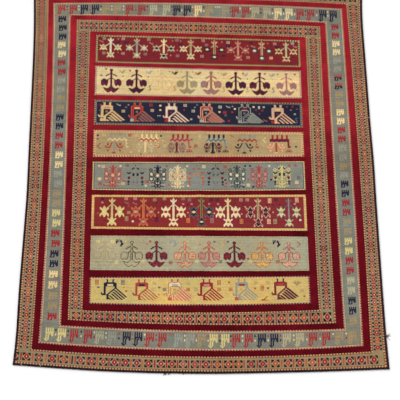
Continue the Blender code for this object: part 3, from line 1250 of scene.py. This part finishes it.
@dataclass
class Panels:
    """The eight crosswise panels of the field."""

    loom: Loom
    soumak: Soumak

    def ready(self, front: str, back: str, ground: Yarn, guard: Guard, seed: int) -> tuple[Patch, Chart]:
        """Sets up a panel with its ground and its guard stripe.

        Args:
            front: The line along its front.
            back: The line along its back.
            ground: Its ground yarn.
            guard: How it is edged.
            seed: Decides its unevenness.

        Returns:
            Its patch and its chart.
        """
        patch = Patch(self.loom, "inner_left.far", "inner_right.near", front, back)
        chart = Chart(patch.rows, patch.columns, ground, seed)
        first, second, wide, inner = guard.value
        chart.guard(wide, first, second)
        if inner is not None:
            chart.guard(1, inner, inner, inset=wide)
        return patch, chart

    def flower_tree(self, chart: Chart, middle: float, top: float, long: bool, yarns: dict) -> None:
        """Works a tree with a flower on each arm and one at its foot.

        Args:
            chart: Where it goes.
            middle: Column of its stem.
            top: Row of its tip.
            long: Whether its flowers are the long kind.
            yarns: Its petals (m), their hearts (o), stem (s), the stem's core (k), if any, and the
                outlines of the flowers (e) and the leaf (l), if any.
        """
        star, foot = (STAR_LONG, STAR_FOOT) if long else (STAR_SHORT, STAR_SHORT)
        arm_row, foot_row = (14, 33) if long else (13, 27)
        stem = yarns["s"]
        chart.bar(middle - 1, top + 7, 3, foot_row - 6, stem)
        chart.stamp(LEAF, middle - 4, top, {"m": stem}, edge=yarns.get("l"))
        if yarns.get("k"):
            chart.bar(middle, top + 2, 1, foot_row - 2, yarns["k"])
        for side in (-1, 1):
            chart.slant(middle + 2 * side, top + arm_row - 2, side, 6, 2, stem)
            left = middle + side * 11 - len(star[0]) // 2
            chart.stamp(star, left, top + arm_row, yarns, edge=yarns.get("e"))
        chart.stamp(foot, middle - len(foot[0]) // 2, top + foot_row, yarns, edge=yarns.get("e"))

    def carnation(
        self,
        chart: Chart,
        middle: float,
        top: int,
        motif: Yarn,
        outline: Yarn | None,
        fleck: Yarn | None,
    ) -> None:
        """Works a carnation tree."""
        left = middle - len(CARNATION[0]) / 2
        chart.stamp(CARNATION, left, top, {"m": motif}, edge=outline, fleck=fleck)

    def peacock(self, chart: Chart, left: float, top: float, kind: Peacock, yarns: dict) -> None:
        """Works a bird that looks to the left, with a fan of slanting feathers behind it.

        Args:
            chart: Where it goes.
            left: Column of its neck.
            top: Row of its crest.
            kind: How it is drawn.
            yarns: The yarns of its body (m), feathers (f), shoulder bar (b), outline (e) and foot (o).
        """
        body, vanes, shafts = kind.masks()
        outline = yarns["e"]
        chart.paint(vanes, left - 4, top, outline or yarns["f"])
        if outline:
            chart.paint(shafts, left - 4, top, yarns["f"])
        chart.paint(body, left - 4, top, yarns["m"])
        if outline:
            chart.paint(rim_of(body), left - 4, top, outline)
        chart.bar(left + 5, top + 8, 8, 3, yarns["b"])
        chart.bar(left - 1, top + 29, 5, 5, yarns["o"])
        chart.bar(left + 1, top + 27, 1, 3, yarns["o"])
        chart.stamp(Filler.CROSS.value, left + 7, top + 15, {"m": yarns["o"]})

    def comb_beast(self, chart: Chart, stem: float, top: float, yarns: dict, bushy: bool) -> None:
        """Works a beast with four upright bars on a zigzag back, over a plant.

        Args:
            chart: Where it goes.
            stem: Column of the plant's stem.
            top: Row of the bars' tips.
            yarns: Bars (b), back (z), the back's zigzag (w), stem (s), leaves (m) and tendrils (o).
            bushy: Whether a small bush grows at the beast's foot.
        """
        for at in (-6, 1, 8, 15):
            chart.bar(stem + at, top, 3, 7, yarns["b"])
        for column in range(-9, 20):
            rise = abs((column + 9) % 7 - 3)
            chart.bar(stem + column, top + 7, 1, 6, yarns["z"])
            chart.bar(stem + column, top + 7 + rise, 1, 3, yarns["w"])
        chart.bar(stem + 17, top + 12, 3, 11, yarns["z"])
        for k in range(3):
            chart.bar(stem + 17 + k % 2, top + 13 + 3 * k, 2, 2, yarns["w"])
        chart.bar(stem + 18, top + 22, 3, 2, yarns["w"])
        chart.bar(stem + 20, top + 21, 2, 2, yarns["w"])
        chart.stamp(SPRAY, stem - 13, top + 14, yarns)
        if bushy:
            chart.stamp(Filler.BUSH.value, stem + 14, top + 26, {"m": yarns["b"]})

    def flowers_back(self) -> bpy.types.Object:
        """Weaves the madder panel of eight flower trees."""
        patch, chart = self.ready("strip_1.far", "inner_back.near", Yarn.MADDER, Guard.OLIVE_NAVY, 41)
        # across, petals, heart, stem, stem's core, outline, leaf's outline
        trees = """
        -405 CREAM SAGE IVORY - - -
        -286 MIST CREAM GREY - SAND SAND
        -162 MIST INK CREAM IVORY SAND -
        -38 CREAM GREY SAND OLIVE - -
        70 NAVY CREAM SAND INK - PEACH
        178 MADDER SAND PINK ORANGE PINK -
        284 STEEL IVORY SAND STEEL INK PEACH
        395 SAND MADDER SAGE STRAW STRAW -
        """
        for x, petal, heart, stem, core, outline, leaf in read_rows(trees):
            yarns = {"m": petal, "o": heart, "s": stem, "k": core, "e": outline, "l": leaf}
            self.flower_tree(chart, patch.column_at(x), 4, False, yarns)
        fillers = """
        BOX TAUPE -433,6 -228,6 -433,35 223,36
        BOX PINK -348,6 19,7 348,8 -348,35 14,36
        BOX MAUVE -99,7 34,14 -243,35 -98,36
        BOX NAVY 238,8 114,35
        BOX MIST 135,8 429,7
        BOX PEACH 330,36
        STROKES PINK -446,12 -216,14 248,15 440,13
        SMALL_BEAST NAVY -372,13 -332,13 -83,14 134,15 358,15
        SPECK PINK -370,7 -83,8 106,8 314,8 -99,26 -129,36
        SPECK NAVY -208,7 -109,12 113,13 331,13 -208,35 430,34
        SPECK OLIVE -120,8 -369,33 223,14
        """
        chart.strew(patch, fillers)
        return self.soumak.weave("panel_1", patch, chart)

    def carnations_back(self) -> bpy.types.Object:
        """Weaves the cream panel of eight carnation trees."""
        patch, chart = self.ready("strip_2.far", "strip_1.near", Yarn.CREAM, Guard.CREAM_RED, 42)
        # across, motif, outline, flecks
        trees = """
        -394 PLUM - RED
        -280 PLUM - MAROON
        -166 CREAM SAND -
        -54 TAUPE - TAN
        54 MAUVE BRICK PINK
        166 PLUM - PLUM
        275 MAROON - INK
        395 MAUVE PINK MAUVE
        """
        for x, motif, outline, fleck in read_rows(trees):
            self.carnation(chart, patch.column_at(x), 5, motif, outline, fleck)
        fillers = """
        BEAST TAN -345,9 114,9
        BEAST MIST -225,9 209,9 329,9
        BEAST NAVY -110,9
        BEAST BRICK -5,9
        SCROLL STEEL -222,38 334,38
        SCROLL ORANGE -110,38
        SCROLL TAN 112,38 218,38
        DOT BRICK -310,7 198,8 433,8
        DOT STEEL -420,6 299,8 -440,17
        SPECK INK -133,7 356,8
        SPECK RUSSET -343,18 219,18 -28,7 -228,18
        DOT SAND 88,7 -185,7 331,18 -80,7 438,38
        """
        chart.strew(patch, fillers)
        return self.soumak.weave("panel_2", patch, chart)

    def peacocks_back(self) -> bpy.types.Object:
        """Weaves the navy panel of six peacocks."""
        patch, chart = self.ready("strip_3.far", "strip_2.near", Yarn.NAVY, Guard.GREY_NAVY, 43)
        # across, body, feathers, shoulder bar, outline, foot, feather's width
        birds = """
        -436 SAND SAND PINK - SAND 4
        -302 RED STEEL PEACH RUST MIST 4
        -149 IVORY IVORY IVORY PINK RED 4
        7 BRICK RED PINK PEACH MIST 4
        178 NAVY SLATE RED MIST GREY 5
        324 PEACH PEACH CREAM - RED 3
        """
        for x, body, feathers, bar, outline, foot, wide in read_rows(birds):
            yarns = {"m": body, "f": feathers, "b": bar, "e": outline, "o": foot}
            self.peacock(chart, patch.column_at(x), 5, Peacock(feather=wide), yarns)
        fillers = """
        BOX FAWN -338,20 -208,19 -61,8
        BOX MIST 96,10 -25,18
        BOX RED -215,9 116,20
        STROKES MIST -358,9 131,10
        DOT CREAM -173,10 -173,18 161,14 93,19 269,10 245,9
        DOT RED -440,9 150,20 283,15 419,8 133,35
        DOT MIST -33,34 291,9 428,22 269,12
        DOT STEEL -439,20 -326,14 -6,8 120,26
        SPECK PINK -315,9 -19,12 151,9 410,14
        SPECK BRICK -66,17 254,15 270,22 393,8 438,12
        SPECK MIST -182,28 -172,28
        STROKES RUST 296,34
        SCROLL STEEL 434,33
        """
        chart.strew(patch, fillers)
        return self.soumak.weave("panel_3", patch, chart)

    def beasts(self) -> bpy.types.Object:
        """Weaves the tan panel of six comb-backed beasts."""
        patch, chart = self.ready("strip_4.far", "strip_3.near", Yarn.TAN, Guard.CREAM_BRICK, 44)
        # stem, bars, back, zigzag, stem's yarn, leaves, tendrils, bushy
        beasts = """
        -376 GREY TAN CREAM GREY BRICK - 0
        -238 CREAM CREAM BRICK CREAM SAND SAGE 0
        -99 RED PINK RED MAROON MAUVE MAROON 1
        59 NAVY MIST STEEL NAVY MAROON NAVY 1
        197 GREY TAN RED GREY NAVY - 0
        339 RED RED NAVY BRICK PEACH ORANGE 1
        """
        for x, bars, back, zigzag, stem, leaves, tendrils, bushy in read_rows(beasts):
            yarns = {"b": bars, "z": back, "w": zigzag, "s": stem, "m": leaves, "o": tendrils}
            self.comb_beast(chart, patch.column_at(x), 6, yarns, bushy)
        fillers = """
        DOT NAVY -445,9 -167,9 427,28
        DOT BRICK -445,15 -31,16
        ARROW_LEFT RUSSET -440,28
        ARROW_LEFT STRAW 287,15
        STROKES BRICK 147,9
        BOX BRICK -304,9 -14,26
        BOX SAND -419,9 -151,27 3,9 -275,9
        DOT SAND -298,38 -159,17 3,14
        SPECK PINK -285,9
        SPECK TEAL -254,41
        """
        chart.strew(patch, fillers)
        return self.soumak.weave("panel_4", patch, chart)

    def vases(self) -> bpy.types.Object:
        """Weaves the grey panel of nine vases of flowers."""
        patch, chart = self.ready("strip_5.far", "strip_4.near", Yarn.SLATE_GREEN, Guard.CREAM_LINE, 45)
        # across, whether it is lace, main yarn, second yarn, heart
        vases = """
        -374 1 BRICK PEACH -
        -277 0 NAVY RUSSET NAVY
        -180 1 NAVY CREAM -
        -91 1 CREAM PEACH -
        -11 0 RUST ORANGE ORANGE
        74 0 NAVY RUST STEEL
        166 1 TEAL IVORY -
        262 1 BRICK PINK -
        362 1 STRAW STRAW -
        362 0 NAVY RUST NAVY
        """
        for x, lace, main, second, heart in read_rows(vases):
            motif = LACE_VASE if lace else DOT_VASE
            yarns = {"m": main, "o": second, "c": heart}
            chart.stamp(motif, patch.column_at(x) - 12.5, 6 if lace else 5, yarns)
        fillers = """
        DOT CREAM -435,7 -343,7 -48,42 -231,42 306,8 -51,7
        BOX CREAM -431,31 23,8 213,40 424,37
        BOX BRICK -428,38 114,8 -225,34
        BOX SAND -417,8 -331,39
        DOT BRICK -411,42 396,7 421,7 118,38 -139,7
        STROKES BRICK -324,33 111,42
        BOX STEEL -313,7 433,29
        DOT NAVY 313,31 201,7 224,7 114,31 194,43 234,43
        DOT RUST -70,25 -112,25 215,32 -130,39
        SPECK PINK 330,43 393,42 433,43
        """
        chart.strew(patch, fillers)
        return self.soumak.weave("panel_5", patch, chart)

    def flowers_front(self) -> bpy.types.Object:
        """Weaves the madder panel of seven tall flower trees."""
        patch, chart = self.ready("strip_6.far", "strip_5.near", Yarn.MADDER_WARM, Guard.GOLD_CREAM, 46)
        # across, petals, heart, stem, stem's core, outline
        trees = """
        -374 STRAW IVORY STRAW SAGE STRAW
        -240 BRICK MIST ORANGE RUST ORANGE
        -109 IVORY RED IVORY CREAM CREAM
        9 NAVY CREAM OLIVE INK STEEL
        125 CREAM BRICK CREAM CREAM IVORY
        252 NAVY BRICK SAND INK PEACH
        384 STRAW GREY STEEL PINK STEEL
        """
        for x, petal, heart, stem, core, outline in read_rows(trees):
            yarns = {"m": petal, "o": heart, "s": stem, "k": core, "e": outline}
            self.flower_tree(chart, patch.column_at(x), 5, True, yarns)
        fillers = """
        BOX PLUM -416,7 53,8 81,8 331,9
        BOX PINK -313,7 -274,7 183,9 209,9
        BOX TAUPE -189,8 -149,7 -301,30
        BOX MAUVE -67,7 -39,8
        TALL PEACH 306,10 299,44 423,9
        TALL TAUPE -311,41 326,44
        TALL PLUM -180,42
        TALL ORANGE -46,43 182,44
        TALL MAUVE 55,43
        STROKES MAUVE -311,14 -274,15
        DOT PINK -416,13 -66,15 -32,15 43,15 84,15 413,16
        DOT IVORY -282,45 434,42
        DOT BRICK -433,31 -300,19
        SPECK NAVY -181,14 -156,14 156,15 189,16 293,17 318,17 348,16 -48,17
        SPECK SAND -173,30 -48,30 68,31 185,32 320,29 200,20
        """
        chart.strew(patch, fillers)
        return self.soumak.weave("panel_6", patch, chart)

    def carnations_front(self) -> bpy.types.Object:
        """Weaves the sage panel of eight carnation trees."""
        patch, chart = self.ready("strip_7.far", "strip_6.near", Yarn.SAGE, Guard.PALE_LINE, 47)
        chart.guard(1, Yarn.SAGE, Yarn.GREY, inset=2, pitch=9.0)
        # across, motif, outline, flecks
        trees = """
        -399 SAGE TAUPE -
        -284 SAGE INK -
        -179 MAROON PLUM BRICK
        -59 PEACH RUST RUST
        43 PINK BRICK MAUVE
        150 MAROON NAVY RED
        267 GOLD RUST CREAM
        382 PEACH RED PINK
        """
        for x, motif, outline, fleck in read_rows(trees):
            self.carnation(chart, patch.column_at(x), 9, motif, outline, fleck)
        fillers = """
        TALL_BEAST NAVY -334,12 329,13
        TALL_BEAST MIST 211,13
        TALL_BEAST GREY -106,12
        ARROW_RIGHT RUST 426,14
        ARROW_RIGHT YELLOW 102,13
        BOX RUSSET -120,44 333,43
        BOX STEEL 90,43
        BOX STRAW -346,44 -233,43 -9,43 216,43 -429,10 -366,10
        DOT BRICK -205,9 207,37
        DOT STEEL 68,9 124,10
        SPECK YELLOW -310,9 -310,11 -50,9 358,11
        SPECK RUST 5,15 -220,14 303,41
        """
        chart.strew(patch, fillers)
        return self.soumak.weave("panel_7", patch, chart)

    def peacocks_front(self) -> bpy.types.Object:
        """Weaves the yellow panel of six peacocks."""
        patch, chart = self.ready("inner_front.far", "strip_7.near", Yarn.YELLOW, Guard.NAVY_LINE, 48)
        # across, body, feathers, shoulder bar, outline, foot, feather's width
        birds = """
        -396 NAVY NAVY CREAM - YELLOW 3
        -265 BRICK BRICK NAVY - YELLOW 2
        -127 IVORY PEACH MIST RUST RUST 5
        6 RED RED PINK - SAND 3
        153 GREY GREY RED - RUST 3
        316 RED MAROON BRICK PLUM SAND 4
        """
        for x, body, feathers, bar, outline, foot, wide in read_rows(birds):
            yarns = {"m": body, "f": feathers, "b": bar, "e": outline, "o": foot}
            kind = Peacock(3, wide, 2.9, 15, 1.2)
            self.peacock(chart, patch.column_at(x), 4, kind, yarns)
        fillers = """
        TALL RUST -424,9 84,10 265,19
        TALL STEEL -316,9
        BOX RUST -45,20 84,21 132,21
        BOX TAN -184,10 -190,20 -45,10 -11,20 239,10 288,10 431,25
        BOX STEEL -143,21
        DOT STEEL -420,18 -165,18 289,20
        DOT RUST -303,23 235,20 127,9 438,34
        SPECK RUST -313,18 -165,29 -144,29
        WEDGE TAUPE 411,12
        BRANCH RUSSET 272,36
        """
        chart.strew(patch, fillers)
        return self.soumak.weave("panel_8", patch, chart)

    def build(self) -> list[bpy.types.Object]:
        """Weaves all eight panels, from the back."""
        return [
            self.flowers_back(),
            self.carnations_back(),
            self.peacocks_back(),
            self.beasts(),
            self.vases(),
            self.flowers_front(),
            self.carnations_front(),
            self.peacocks_front(),
        ]


@dataclass
class PlushBands:
    """The raised crimson bands of cut pile: each tuft is a small point on the band's back."""

    loom: Loom
    mesher: Mesher
    dye_and_light: DyeAndLight
    finish: bpy.types.Material
    ground: float = 3.4
    root: float = 5.9
    tip: float = 7.3
    tuft: float = 3.6
    ragged: float = 0.7

    def band(
        self, name: str, lines: tuple[str, str, str, str], lengthwise: bool, seed: int
    ) -> bpy.types.Mesh:
        """Makes the mesh of one straight band.

        Args:
            name: The mesh's name.
            lines: Its left, right, front and back line.
            lengthwise: Whether it runs from front to back.
            seed: Decides its tufts.

        Returns:
            The mesh, dyed and in place.
        """
        patch = Patch(self.loom, *lines, stitch=self.tuft, row=self.tuft)
        mesh = self.mesher.grid(name, patch.columns, patch.rows, tufted=True, skirted=False)
        counted = self.mesher.read(mesh)
        chance = np.random.default_rng(seed)
        x, y = self.mesher.bend(counted, patch)
        over, count = (counted[:, 0], patch.columns) if lengthwise else (counted[:, 1], patch.rows)
        depth = np.minimum(over, count - over)
        outward = np.sign(over - count / 2) * (depth < 0.25) * (1 if lengthwise else -1)
        x += self.ragged * chance.normal(size=len(x)) * 0.6
        y += self.ragged * chance.normal(size=len(y)) * 0.6
        if lengthwise:
            x += outward * 1.2
        else:
            y += outward * 1.2
        tip = counted[:, 2] > 0.5
        z = np.where(tip, self.tip + 0.45 * chance.normal(size=len(x)), self.root)
        z = np.where(depth < 0.25, self.ground, z)
        z = np.where((depth < 0.75) & tip, z - 0.8, z) + self.mesher.crease(x)
        z += 0.25 * self.dye_and_light.cloud(0, x, y, 30.0)
        self.mesher.place(mesh, x, y, z)
        cells = self.mesher.face_cells(mesh, counted, patch)
        cx, cy = patch.centres()
        colours = self.dye_and_light.plush(cx, cy, lengthwise, seed).reshape(-1, 3)[cells]
        corners = self.mesher.vertex_of_corner(mesh)
        # Painted light and shade: each tuft's tip is made lighter and its root darker.
        shade = np.where(tip[corners], 1.12, 0.82)[:, None]
        self.mesher.colour_corners(mesh, np.clip(colours[self.mesher.face_of_corner(mesh)] * shade, 0, 1))
        self.mesher.unwrap(mesh, counted)
        return mesh

    def ring(self, rank: str, seed: int) -> list[bpy.types.Object]:
        """Makes the four bands of a ring."""
        left, right = rank + "_left", rank + "_right"
        front, back = rank + "_front", rank + "_back"
        across = (left + ".near", right + ".far")
        along = (front + ".middle", back + ".middle")
        made = [
            (front, (*across, front + ".near", front + ".far"), False),
            (back, (*across, back + ".near", back + ".far"), False),
            (left, (left + ".near", left + ".far", *along), True),
            (right, (right + ".near", right + ".far", *along), True),
        ]
        return [
            self.mesher.piece(
                self.band("plush_" + name, lines, lengthwise, seed + k), self.finish, smooth=True
            )
            for k, (name, lines, lengthwise) in enumerate(made)
        ]

    def build(self) -> list[bpy.types.Object]:
        """Makes the three rings and the seven strips between the panels."""
        pieces = self.ring("outer", 61) + self.ring("middle", 71) + self.ring("inner", 81)
        for k in range(1, 8):
            strip = f"strip_{k}"
            lines = ("inner_left.middle", "inner_right.middle", strip + ".near", strip + ".far")
            mesh = self.band("plush_" + strip, lines, False, 90 + k)
            pieces.append(self.mesher.piece(mesh, self.finish, smooth=True))
        return pieces


@dataclass
class Overcast:
    """The dark wool wrapped over the rug's edge, one slanting turn beside the other."""

    loom: Loom
    mesher: Mesher
    finish: bpy.types.Material
    high: float = 7.4
    turn: float = 3.9
    steps: int = 3
    around: int = 10
    ridge: float = 0.10

    def cord(
        self, name: str, lines: tuple[str, str, str, str], lengthwise: bool, seed: int
    ) -> bpy.types.Object:
        """Makes the edge along one side.

        Args:
            name: The piece's name.
            lines: Its left, right, front and back line.
            lengthwise: Whether it runs from front to back.
            seed: Decides its unevenness.

        Returns:
            The piece.
        """
        pace = self.turn / self.steps
        if lengthwise:
            patch = Patch(self.loom, *lines, columns=1, row=pace)
            sections = patch.rows
            mid = np.stack([patch.x.mean(1), patch.y.mean(1)], 1)
            half = (patch.x[:, 1] - patch.x[:, 0]) / 2
        else:
            patch = Patch(self.loom, *lines, rows=1, stitch=pace)
            sections = patch.columns
            mid = np.stack([patch.x.mean(0), patch.y.mean(0)], 1)
            half = (patch.y[0] - patch.y[1]) / 2
        bm = bmesh.new()
        bmesh.ops.create_grid(bm, x_segments=self.around, y_segments=sections, size=0.5)
        bmesh.ops.scale(bm, vec=(self.around, sections, 1.0), verts=bm.verts)
        bmesh.ops.translate(bm, vec=(self.around / 2, sections / 2, 0.0), verts=bm.verts)
        mesh = to_mesh(name, bm)
        counted = self.mesher.read(mesh)
        chance = np.random.default_rng(seed)
        section = np.rint(counted[:, 1]).astype(int)
        angle = counted[:, 0] / self.around * 2 * math.pi
        lean = chance.normal(size=sections + 1) * 0.04
        phase = section / self.steps - 0.9 * np.cos(angle) / 2
        swell = 1.0 + self.ridge * np.cos(2 * math.pi * phase) + lean[section]
        off = np.cos(angle) * half[section] * swell
        lift = np.maximum(0.05, self.high / 2 * (1.0 + np.sin(angle) * swell))
        if lengthwise:
            x, y = mid[section, 0] + off, mid[section, 1]
        else:
            x, y = mid[section, 0], mid[section, 1] + off
        self.mesher.place(mesh, x, y, lift)
        self.mesher.unwrap(mesh, counted)
        dark, warm = linear("#241a20"), linear("#55292e")
        corners = self.mesher.vertex_of_corner(mesh)
        inner = np.clip(0.5 + 0.5 * np.cos(angle) * self.inward(name), 0, 1)[corners, None]
        # Painted shade and highlight: the hollows between the turns are darkened and their ridges
        # lightened.
        hollow_shade = (0.5 - 0.5 * np.cos(2 * math.pi * phase))[corners, None]
        colour = dark + (warm - dark) * inner**3
        tone = (1.0 + 0.22 * chance.normal(size=sections + 1))[section][corners, None]
        self.mesher.colour_corners(mesh, np.clip(colour * tone * (1.15 - 0.55 * hollow_shade), 0, 1))
        self.close(mesh)
        return self.mesher.piece(mesh, self.finish, smooth=True)

    def inward(self, name: str) -> int:
        """Says which way the rug lies from an edge."""
        return -1 if name.endswith(("right", "back")) else 1

    def close(self, mesh: bpy.types.Mesh) -> None:
        """Joins the cord's seam, closes its two ends and points its faces outwards."""
        bm = bmesh.new()
        bm.from_mesh(mesh)
        bmesh.ops.remove_doubles(bm, verts=bm.verts, dist=0.00002)
        rim = [edge for edge in bm.edges if edge.is_boundary]
        bmesh.ops.holes_fill(bm, edges=rim, sides=0)
        bmesh.ops.recalc_face_normals(bm, faces=bm.faces)
        bm.to_mesh(mesh)
        bm.free()

    def build(self) -> list[bpy.types.Object]:
        """Makes the four edges, in the place of the plain ones."""
        along = ("front.edge", "back.edge")
        across = ("left.rim", "right.rim")
        pieces = []
        for side, lines, lengthwise in (
            ("left", ("left.rim", "left.seam", *along), True),
            ("right", ("right.seam", "right.rim", *along), True),
            ("front", (*across, "front.rim", "front.seam"), False),
            ("back", (*across, "back.seam", "back.rim"), False),
        ):
            edge = self.cord("overcast_" + side, lines, lengthwise, 101 + len(pieces))
            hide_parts("binding_" + side)
            pieces.append(edge)
        return pieces


@dataclass
class YarnEnds:
    """Ends of the edge's yarn that have worked loose: thin cords that hang over it to the floor."""

    mesher: Mesher
    finish: bpy.types.Material
    thick: float = 1.3
    steps: int = 8
    edge_high: float = 7.6
    edge_reach: float = 5.6
    # across, along, way out across and along, how far, how many strands, yarn
    places: tuple[tuple, ...] = (
        (-138, -940, 0.1, -1.0, 15.0, 5, Yarn.INK),
        (-119, -940, -0.2, -1.0, 13.0, 3, Yarn.INK),
        (-65, -940, 0.3, -1.0, 12.5, 3, Yarn.INK),
        (-719, -905, -0.2, -1.0, 12.0, 3, Yarn.SAND),
        (-645, -911, 0.5, -1.0, 11.0, 2, Yarn.STRAW),
        (759, -787, 1.0, -0.15, 26.0, 6, Yarn.UMBER),
        (751, 228, 1.0, 0.2, 11.0, 3, Yarn.SAND),
    )

    def height(self, out: float) -> float:
        """Gives how high a loose end lies at a distance from the edge's seam."""
        round_edge = max(0.0, 1.0 - ((out - 4.5) / self.edge_reach) ** 2)
        return 0.9 + self.edge_high * math.sqrt(round_edge)

    def strand(self, bm: bmesh.types.BMesh, path: list[Vector]) -> None:
        """Adds one thin cord through the points of a path."""
        for near, far in zip(path, path[1:]):
            turn = Vector((0.0, 0.0, 1.0)).rotation_difference(far - near).to_matrix().to_4x4()
            bmesh.ops.create_cone(
                bm,
                cap_ends=True,
                segments=6,
                radius1=self.thick / 2,
                radius2=self.thick / 2,
                depth=(far - near).length * 1.1,
                matrix=Matrix.Translation((near + far) / 2) @ turn,
            )

    def build(self) -> bpy.types.Object:
        """Makes all the loose ends as one piece."""
        chance = np.random.default_rng(7)
        bm = bmesh.new()
        tones: list[np.ndarray] = []
        for x, y, across, along, far, count, yarn in self.places:
            for k in range(count):
                spread = (k - (count - 1) / 2) * 0.22 + 0.08 * chance.normal()
                reach = far * (0.75 + 0.35 * chance.random())
                shares = [step / self.steps for step in range(self.steps + 1)]
                path = [
                    Vector(
                        (
                            x + reach * share * (across - along * spread * share) + 1.5 * spread,
                            y + reach * share * (along + across * spread * share) + 0.8 * spread,
                            self.height(reach * share),
                        )
                    )
                    for share in shares
                ]
                self.strand(bm, path)
                tone = linear(yarn.value) * (1.0 + 0.15 * chance.normal())
                tones += [tone] * (len(bm.faces) - len(tones))
        mesh = to_mesh("overcast_loose_ends", bm)
        self.mesher.place(mesh, *self.mesher.read(mesh).T)
        self.mesher.colour_corners(mesh, np.clip(np.array(tones), 0, 1)[self.mesher.face_of_corner(mesh)])
        return self.mesher.piece(mesh, self.finish, smooth=True)


@dataclass
class Foundation:
    """The warps and wefts that everything is worked on, which only its back shows."""

    loom: Loom
    mesher: Mesher
    finish: bpy.types.Material
    thick: float = 2.9
    cell: float = 14.0

    def build(self) -> bpy.types.Object:
        """Makes the sheet, closed all round, in the place of the plain body."""
        lines = ("left.edge", "right.edge", "front.edge", "back.edge")
        patch = Patch(self.loom, *lines, stitch=self.cell, row=self.cell)
        bm = bmesh.new()
        bmesh.ops.create_grid(bm, x_segments=patch.columns, y_segments=patch.rows, size=0.5)
        whole = bmesh.ops.extrude_face_region(bm, geom=bm.faces[:], use_keep_orig=True)["geom"]
        for item in whole:
            if isinstance(item, bmesh.types.BMVert):
                item.co.z = 1.0
        bmesh.ops.scale(bm, vec=(patch.columns, -patch.rows, 1.0), verts=bm.verts)
        bmesh.ops.translate(bm, vec=(patch.columns / 2, patch.rows / 2, 0.0), verts=bm.verts)
        bmesh.ops.recalc_face_normals(bm, faces=bm.faces)
        mesh = to_mesh("rug_foundation", bm)
        counted = self.mesher.read(mesh)
        x, y = self.mesher.bend(counted, patch)
        upper = counted[:, 2] > 0.5
        chance = np.random.default_rng(5)
        z = np.where(upper, self.thick + self.mesher.crease(x), 0.15 + 0.1 * chance.random(len(x)))
        self.mesher.place(mesh, x, y, z)
        self.mesher.unwrap(mesh, counted)
        count = len(mesh.loops)
        self.mesher.colour_corners(mesh, np.tile(linear(Yarn.MAUVE.value) * 0.8, (count, 1)))
        sheet = self.mesher.piece(mesh, self.finish, smooth=False)
        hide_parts("rug_body")
        return sheet


@dataclass
class Studio:
    """A pale floor, soft light from above and the camera at the photograph's angle.

    Attributes:
        surround: Strength of the even white surround.
        key: Strength of the broad lamp, which is far away so that it lights all corners alike.
        key_spread: How wide the lamp looks from the rug, in degrees, which softens its shadows.
        key_turn: The lamp's tilts round X and Y, in degrees.
    """

    lens: float = 112.5
    sensor: float = 36.0
    tilt: float = 25.09
    camera_at: tuple[float, float, float] = (0.005, -2.458, 4.883)
    floor_side: float = 24.0
    floor_drop: float = 0.0004
    surround: float = 0.68
    key: float = 1.45
    key_spread: float = 35.0
    key_turn: tuple[float, float] = (-24.0, -34.0)

    def floor(self) -> None:
        """Lays the floor just under the rug."""
        bm = bmesh.new()
        bmesh.ops.create_grid(bm, x_segments=1, y_segments=1, size=self.floor_side / 2)
        bmesh.ops.translate(bm, vec=(0.0, 0.0, -self.floor_drop), verts=bm.verts)
        mesh = to_mesh("studio_floor", bm)
        paint = bpy.data.materials.new("floor_paint")
        paint.use_nodes = True
        shader = paint.node_tree.nodes["Principled BSDF"]
        shader.inputs["Base Color"].default_value = (*linear("#ffffff"), 1.0)
        shader.inputs["Roughness"].default_value = 0.9
        mesh.materials.append(paint)
        made = bpy.data.objects.new("studio_floor", mesh)
        bpy.context.scene.collection.objects.link(made)

    def lights(self) -> None:
        """Sets an even white surround and one broad soft lamp, from the back left."""
        world = bpy.data.worlds.new("studio")
        world.use_nodes = True
        sky = world.node_tree.nodes["Background"]
        sky.inputs["Color"].default_value = (1.0, 1.0, 1.0, 1.0)
        sky.inputs["Strength"].default_value = self.surround
        bpy.context.scene.world = world
        lamp = bpy.data.lights.new("soft_lamp", "SUN")
        lamp.energy = self.key
        lamp.angle = math.radians(self.key_spread)
        held = bpy.data.objects.new("soft_lamp", lamp)
        held.location = (-2.4, 2.0, 4.0)
        held.rotation_euler = tuple(math.radians(turn) for turn in (*self.key_turn, 0.0))
        bpy.context.scene.collection.objects.link(held)

    def camera(self) -> None:
        """Puts the camera in front of the rug, looking steeply down."""
        lens = bpy.data.cameras.new("camera")
        lens.lens = self.lens
        lens.sensor_width = self.sensor
        held = bpy.data.objects.new("camera", lens)
        held.location = self.camera_at
        held.rotation_euler = (math.radians(self.tilt), 0.0, 0.0)
        bpy.context.scene.collection.objects.link(held)
        bpy.context.scene.camera = held

    def build(self) -> None:
        """Sets up the whole studio."""
        self.floor()
        self.lights()
        self.camera()
        bpy.context.scene.view_settings.view_transform = "Standard"


def main() -> None:
    """Builds the rug piece by piece, then the studio."""
    logging.basicConfig(level=logging.INFO, format="%(message)s")
    loom, mesher, dye_and_light = Loom(), Mesher(), DyeAndLight()
    # Wrapped weft: worsted wool laid in slanting stitches, so it looks ribbed and dull.
    wrapped = WoolFinish("wrapped_soumak_wool", wrapped=True).material()
    # Cut pile: the fibre ends stand up, so it looks deep, with a soft sheen at its tips.
    pile = WoolFinish("cut_pile_wool", 0.92, 0.2, 1.1, 0.6, 0.22).material()
    # Overcast edge: dark yarn pulled tight over a bundle of warps, so its ridges catch light.
    edge = WoolFinish("overcast_wool", 0.85, 0.0, 0.7, 0.25, 0.2).material()
    # Foundation: undyed warps and hairy weft ends, seen only on the back.
    back = WoolFinish("foundation_wool", 0.92, 0.0, 2.4, 0.9, 0.3).material()
    soumak = Soumak(loom, mesher, dye_and_light, wrapped)
    sheet = Foundation(loom, mesher, back).build()
    pieces = Borders(loom, soumak).build() + Panels(loom, soumak).build()
    pieces += PlushBands(loom, mesher, dye_and_light, pile).build()
    pieces += Overcast(loom, mesher, edge).build()
    pieces.append(YarnEnds(mesher, edge).build())
    Studio().build()
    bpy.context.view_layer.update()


if __name__ == "__main__":
    main()
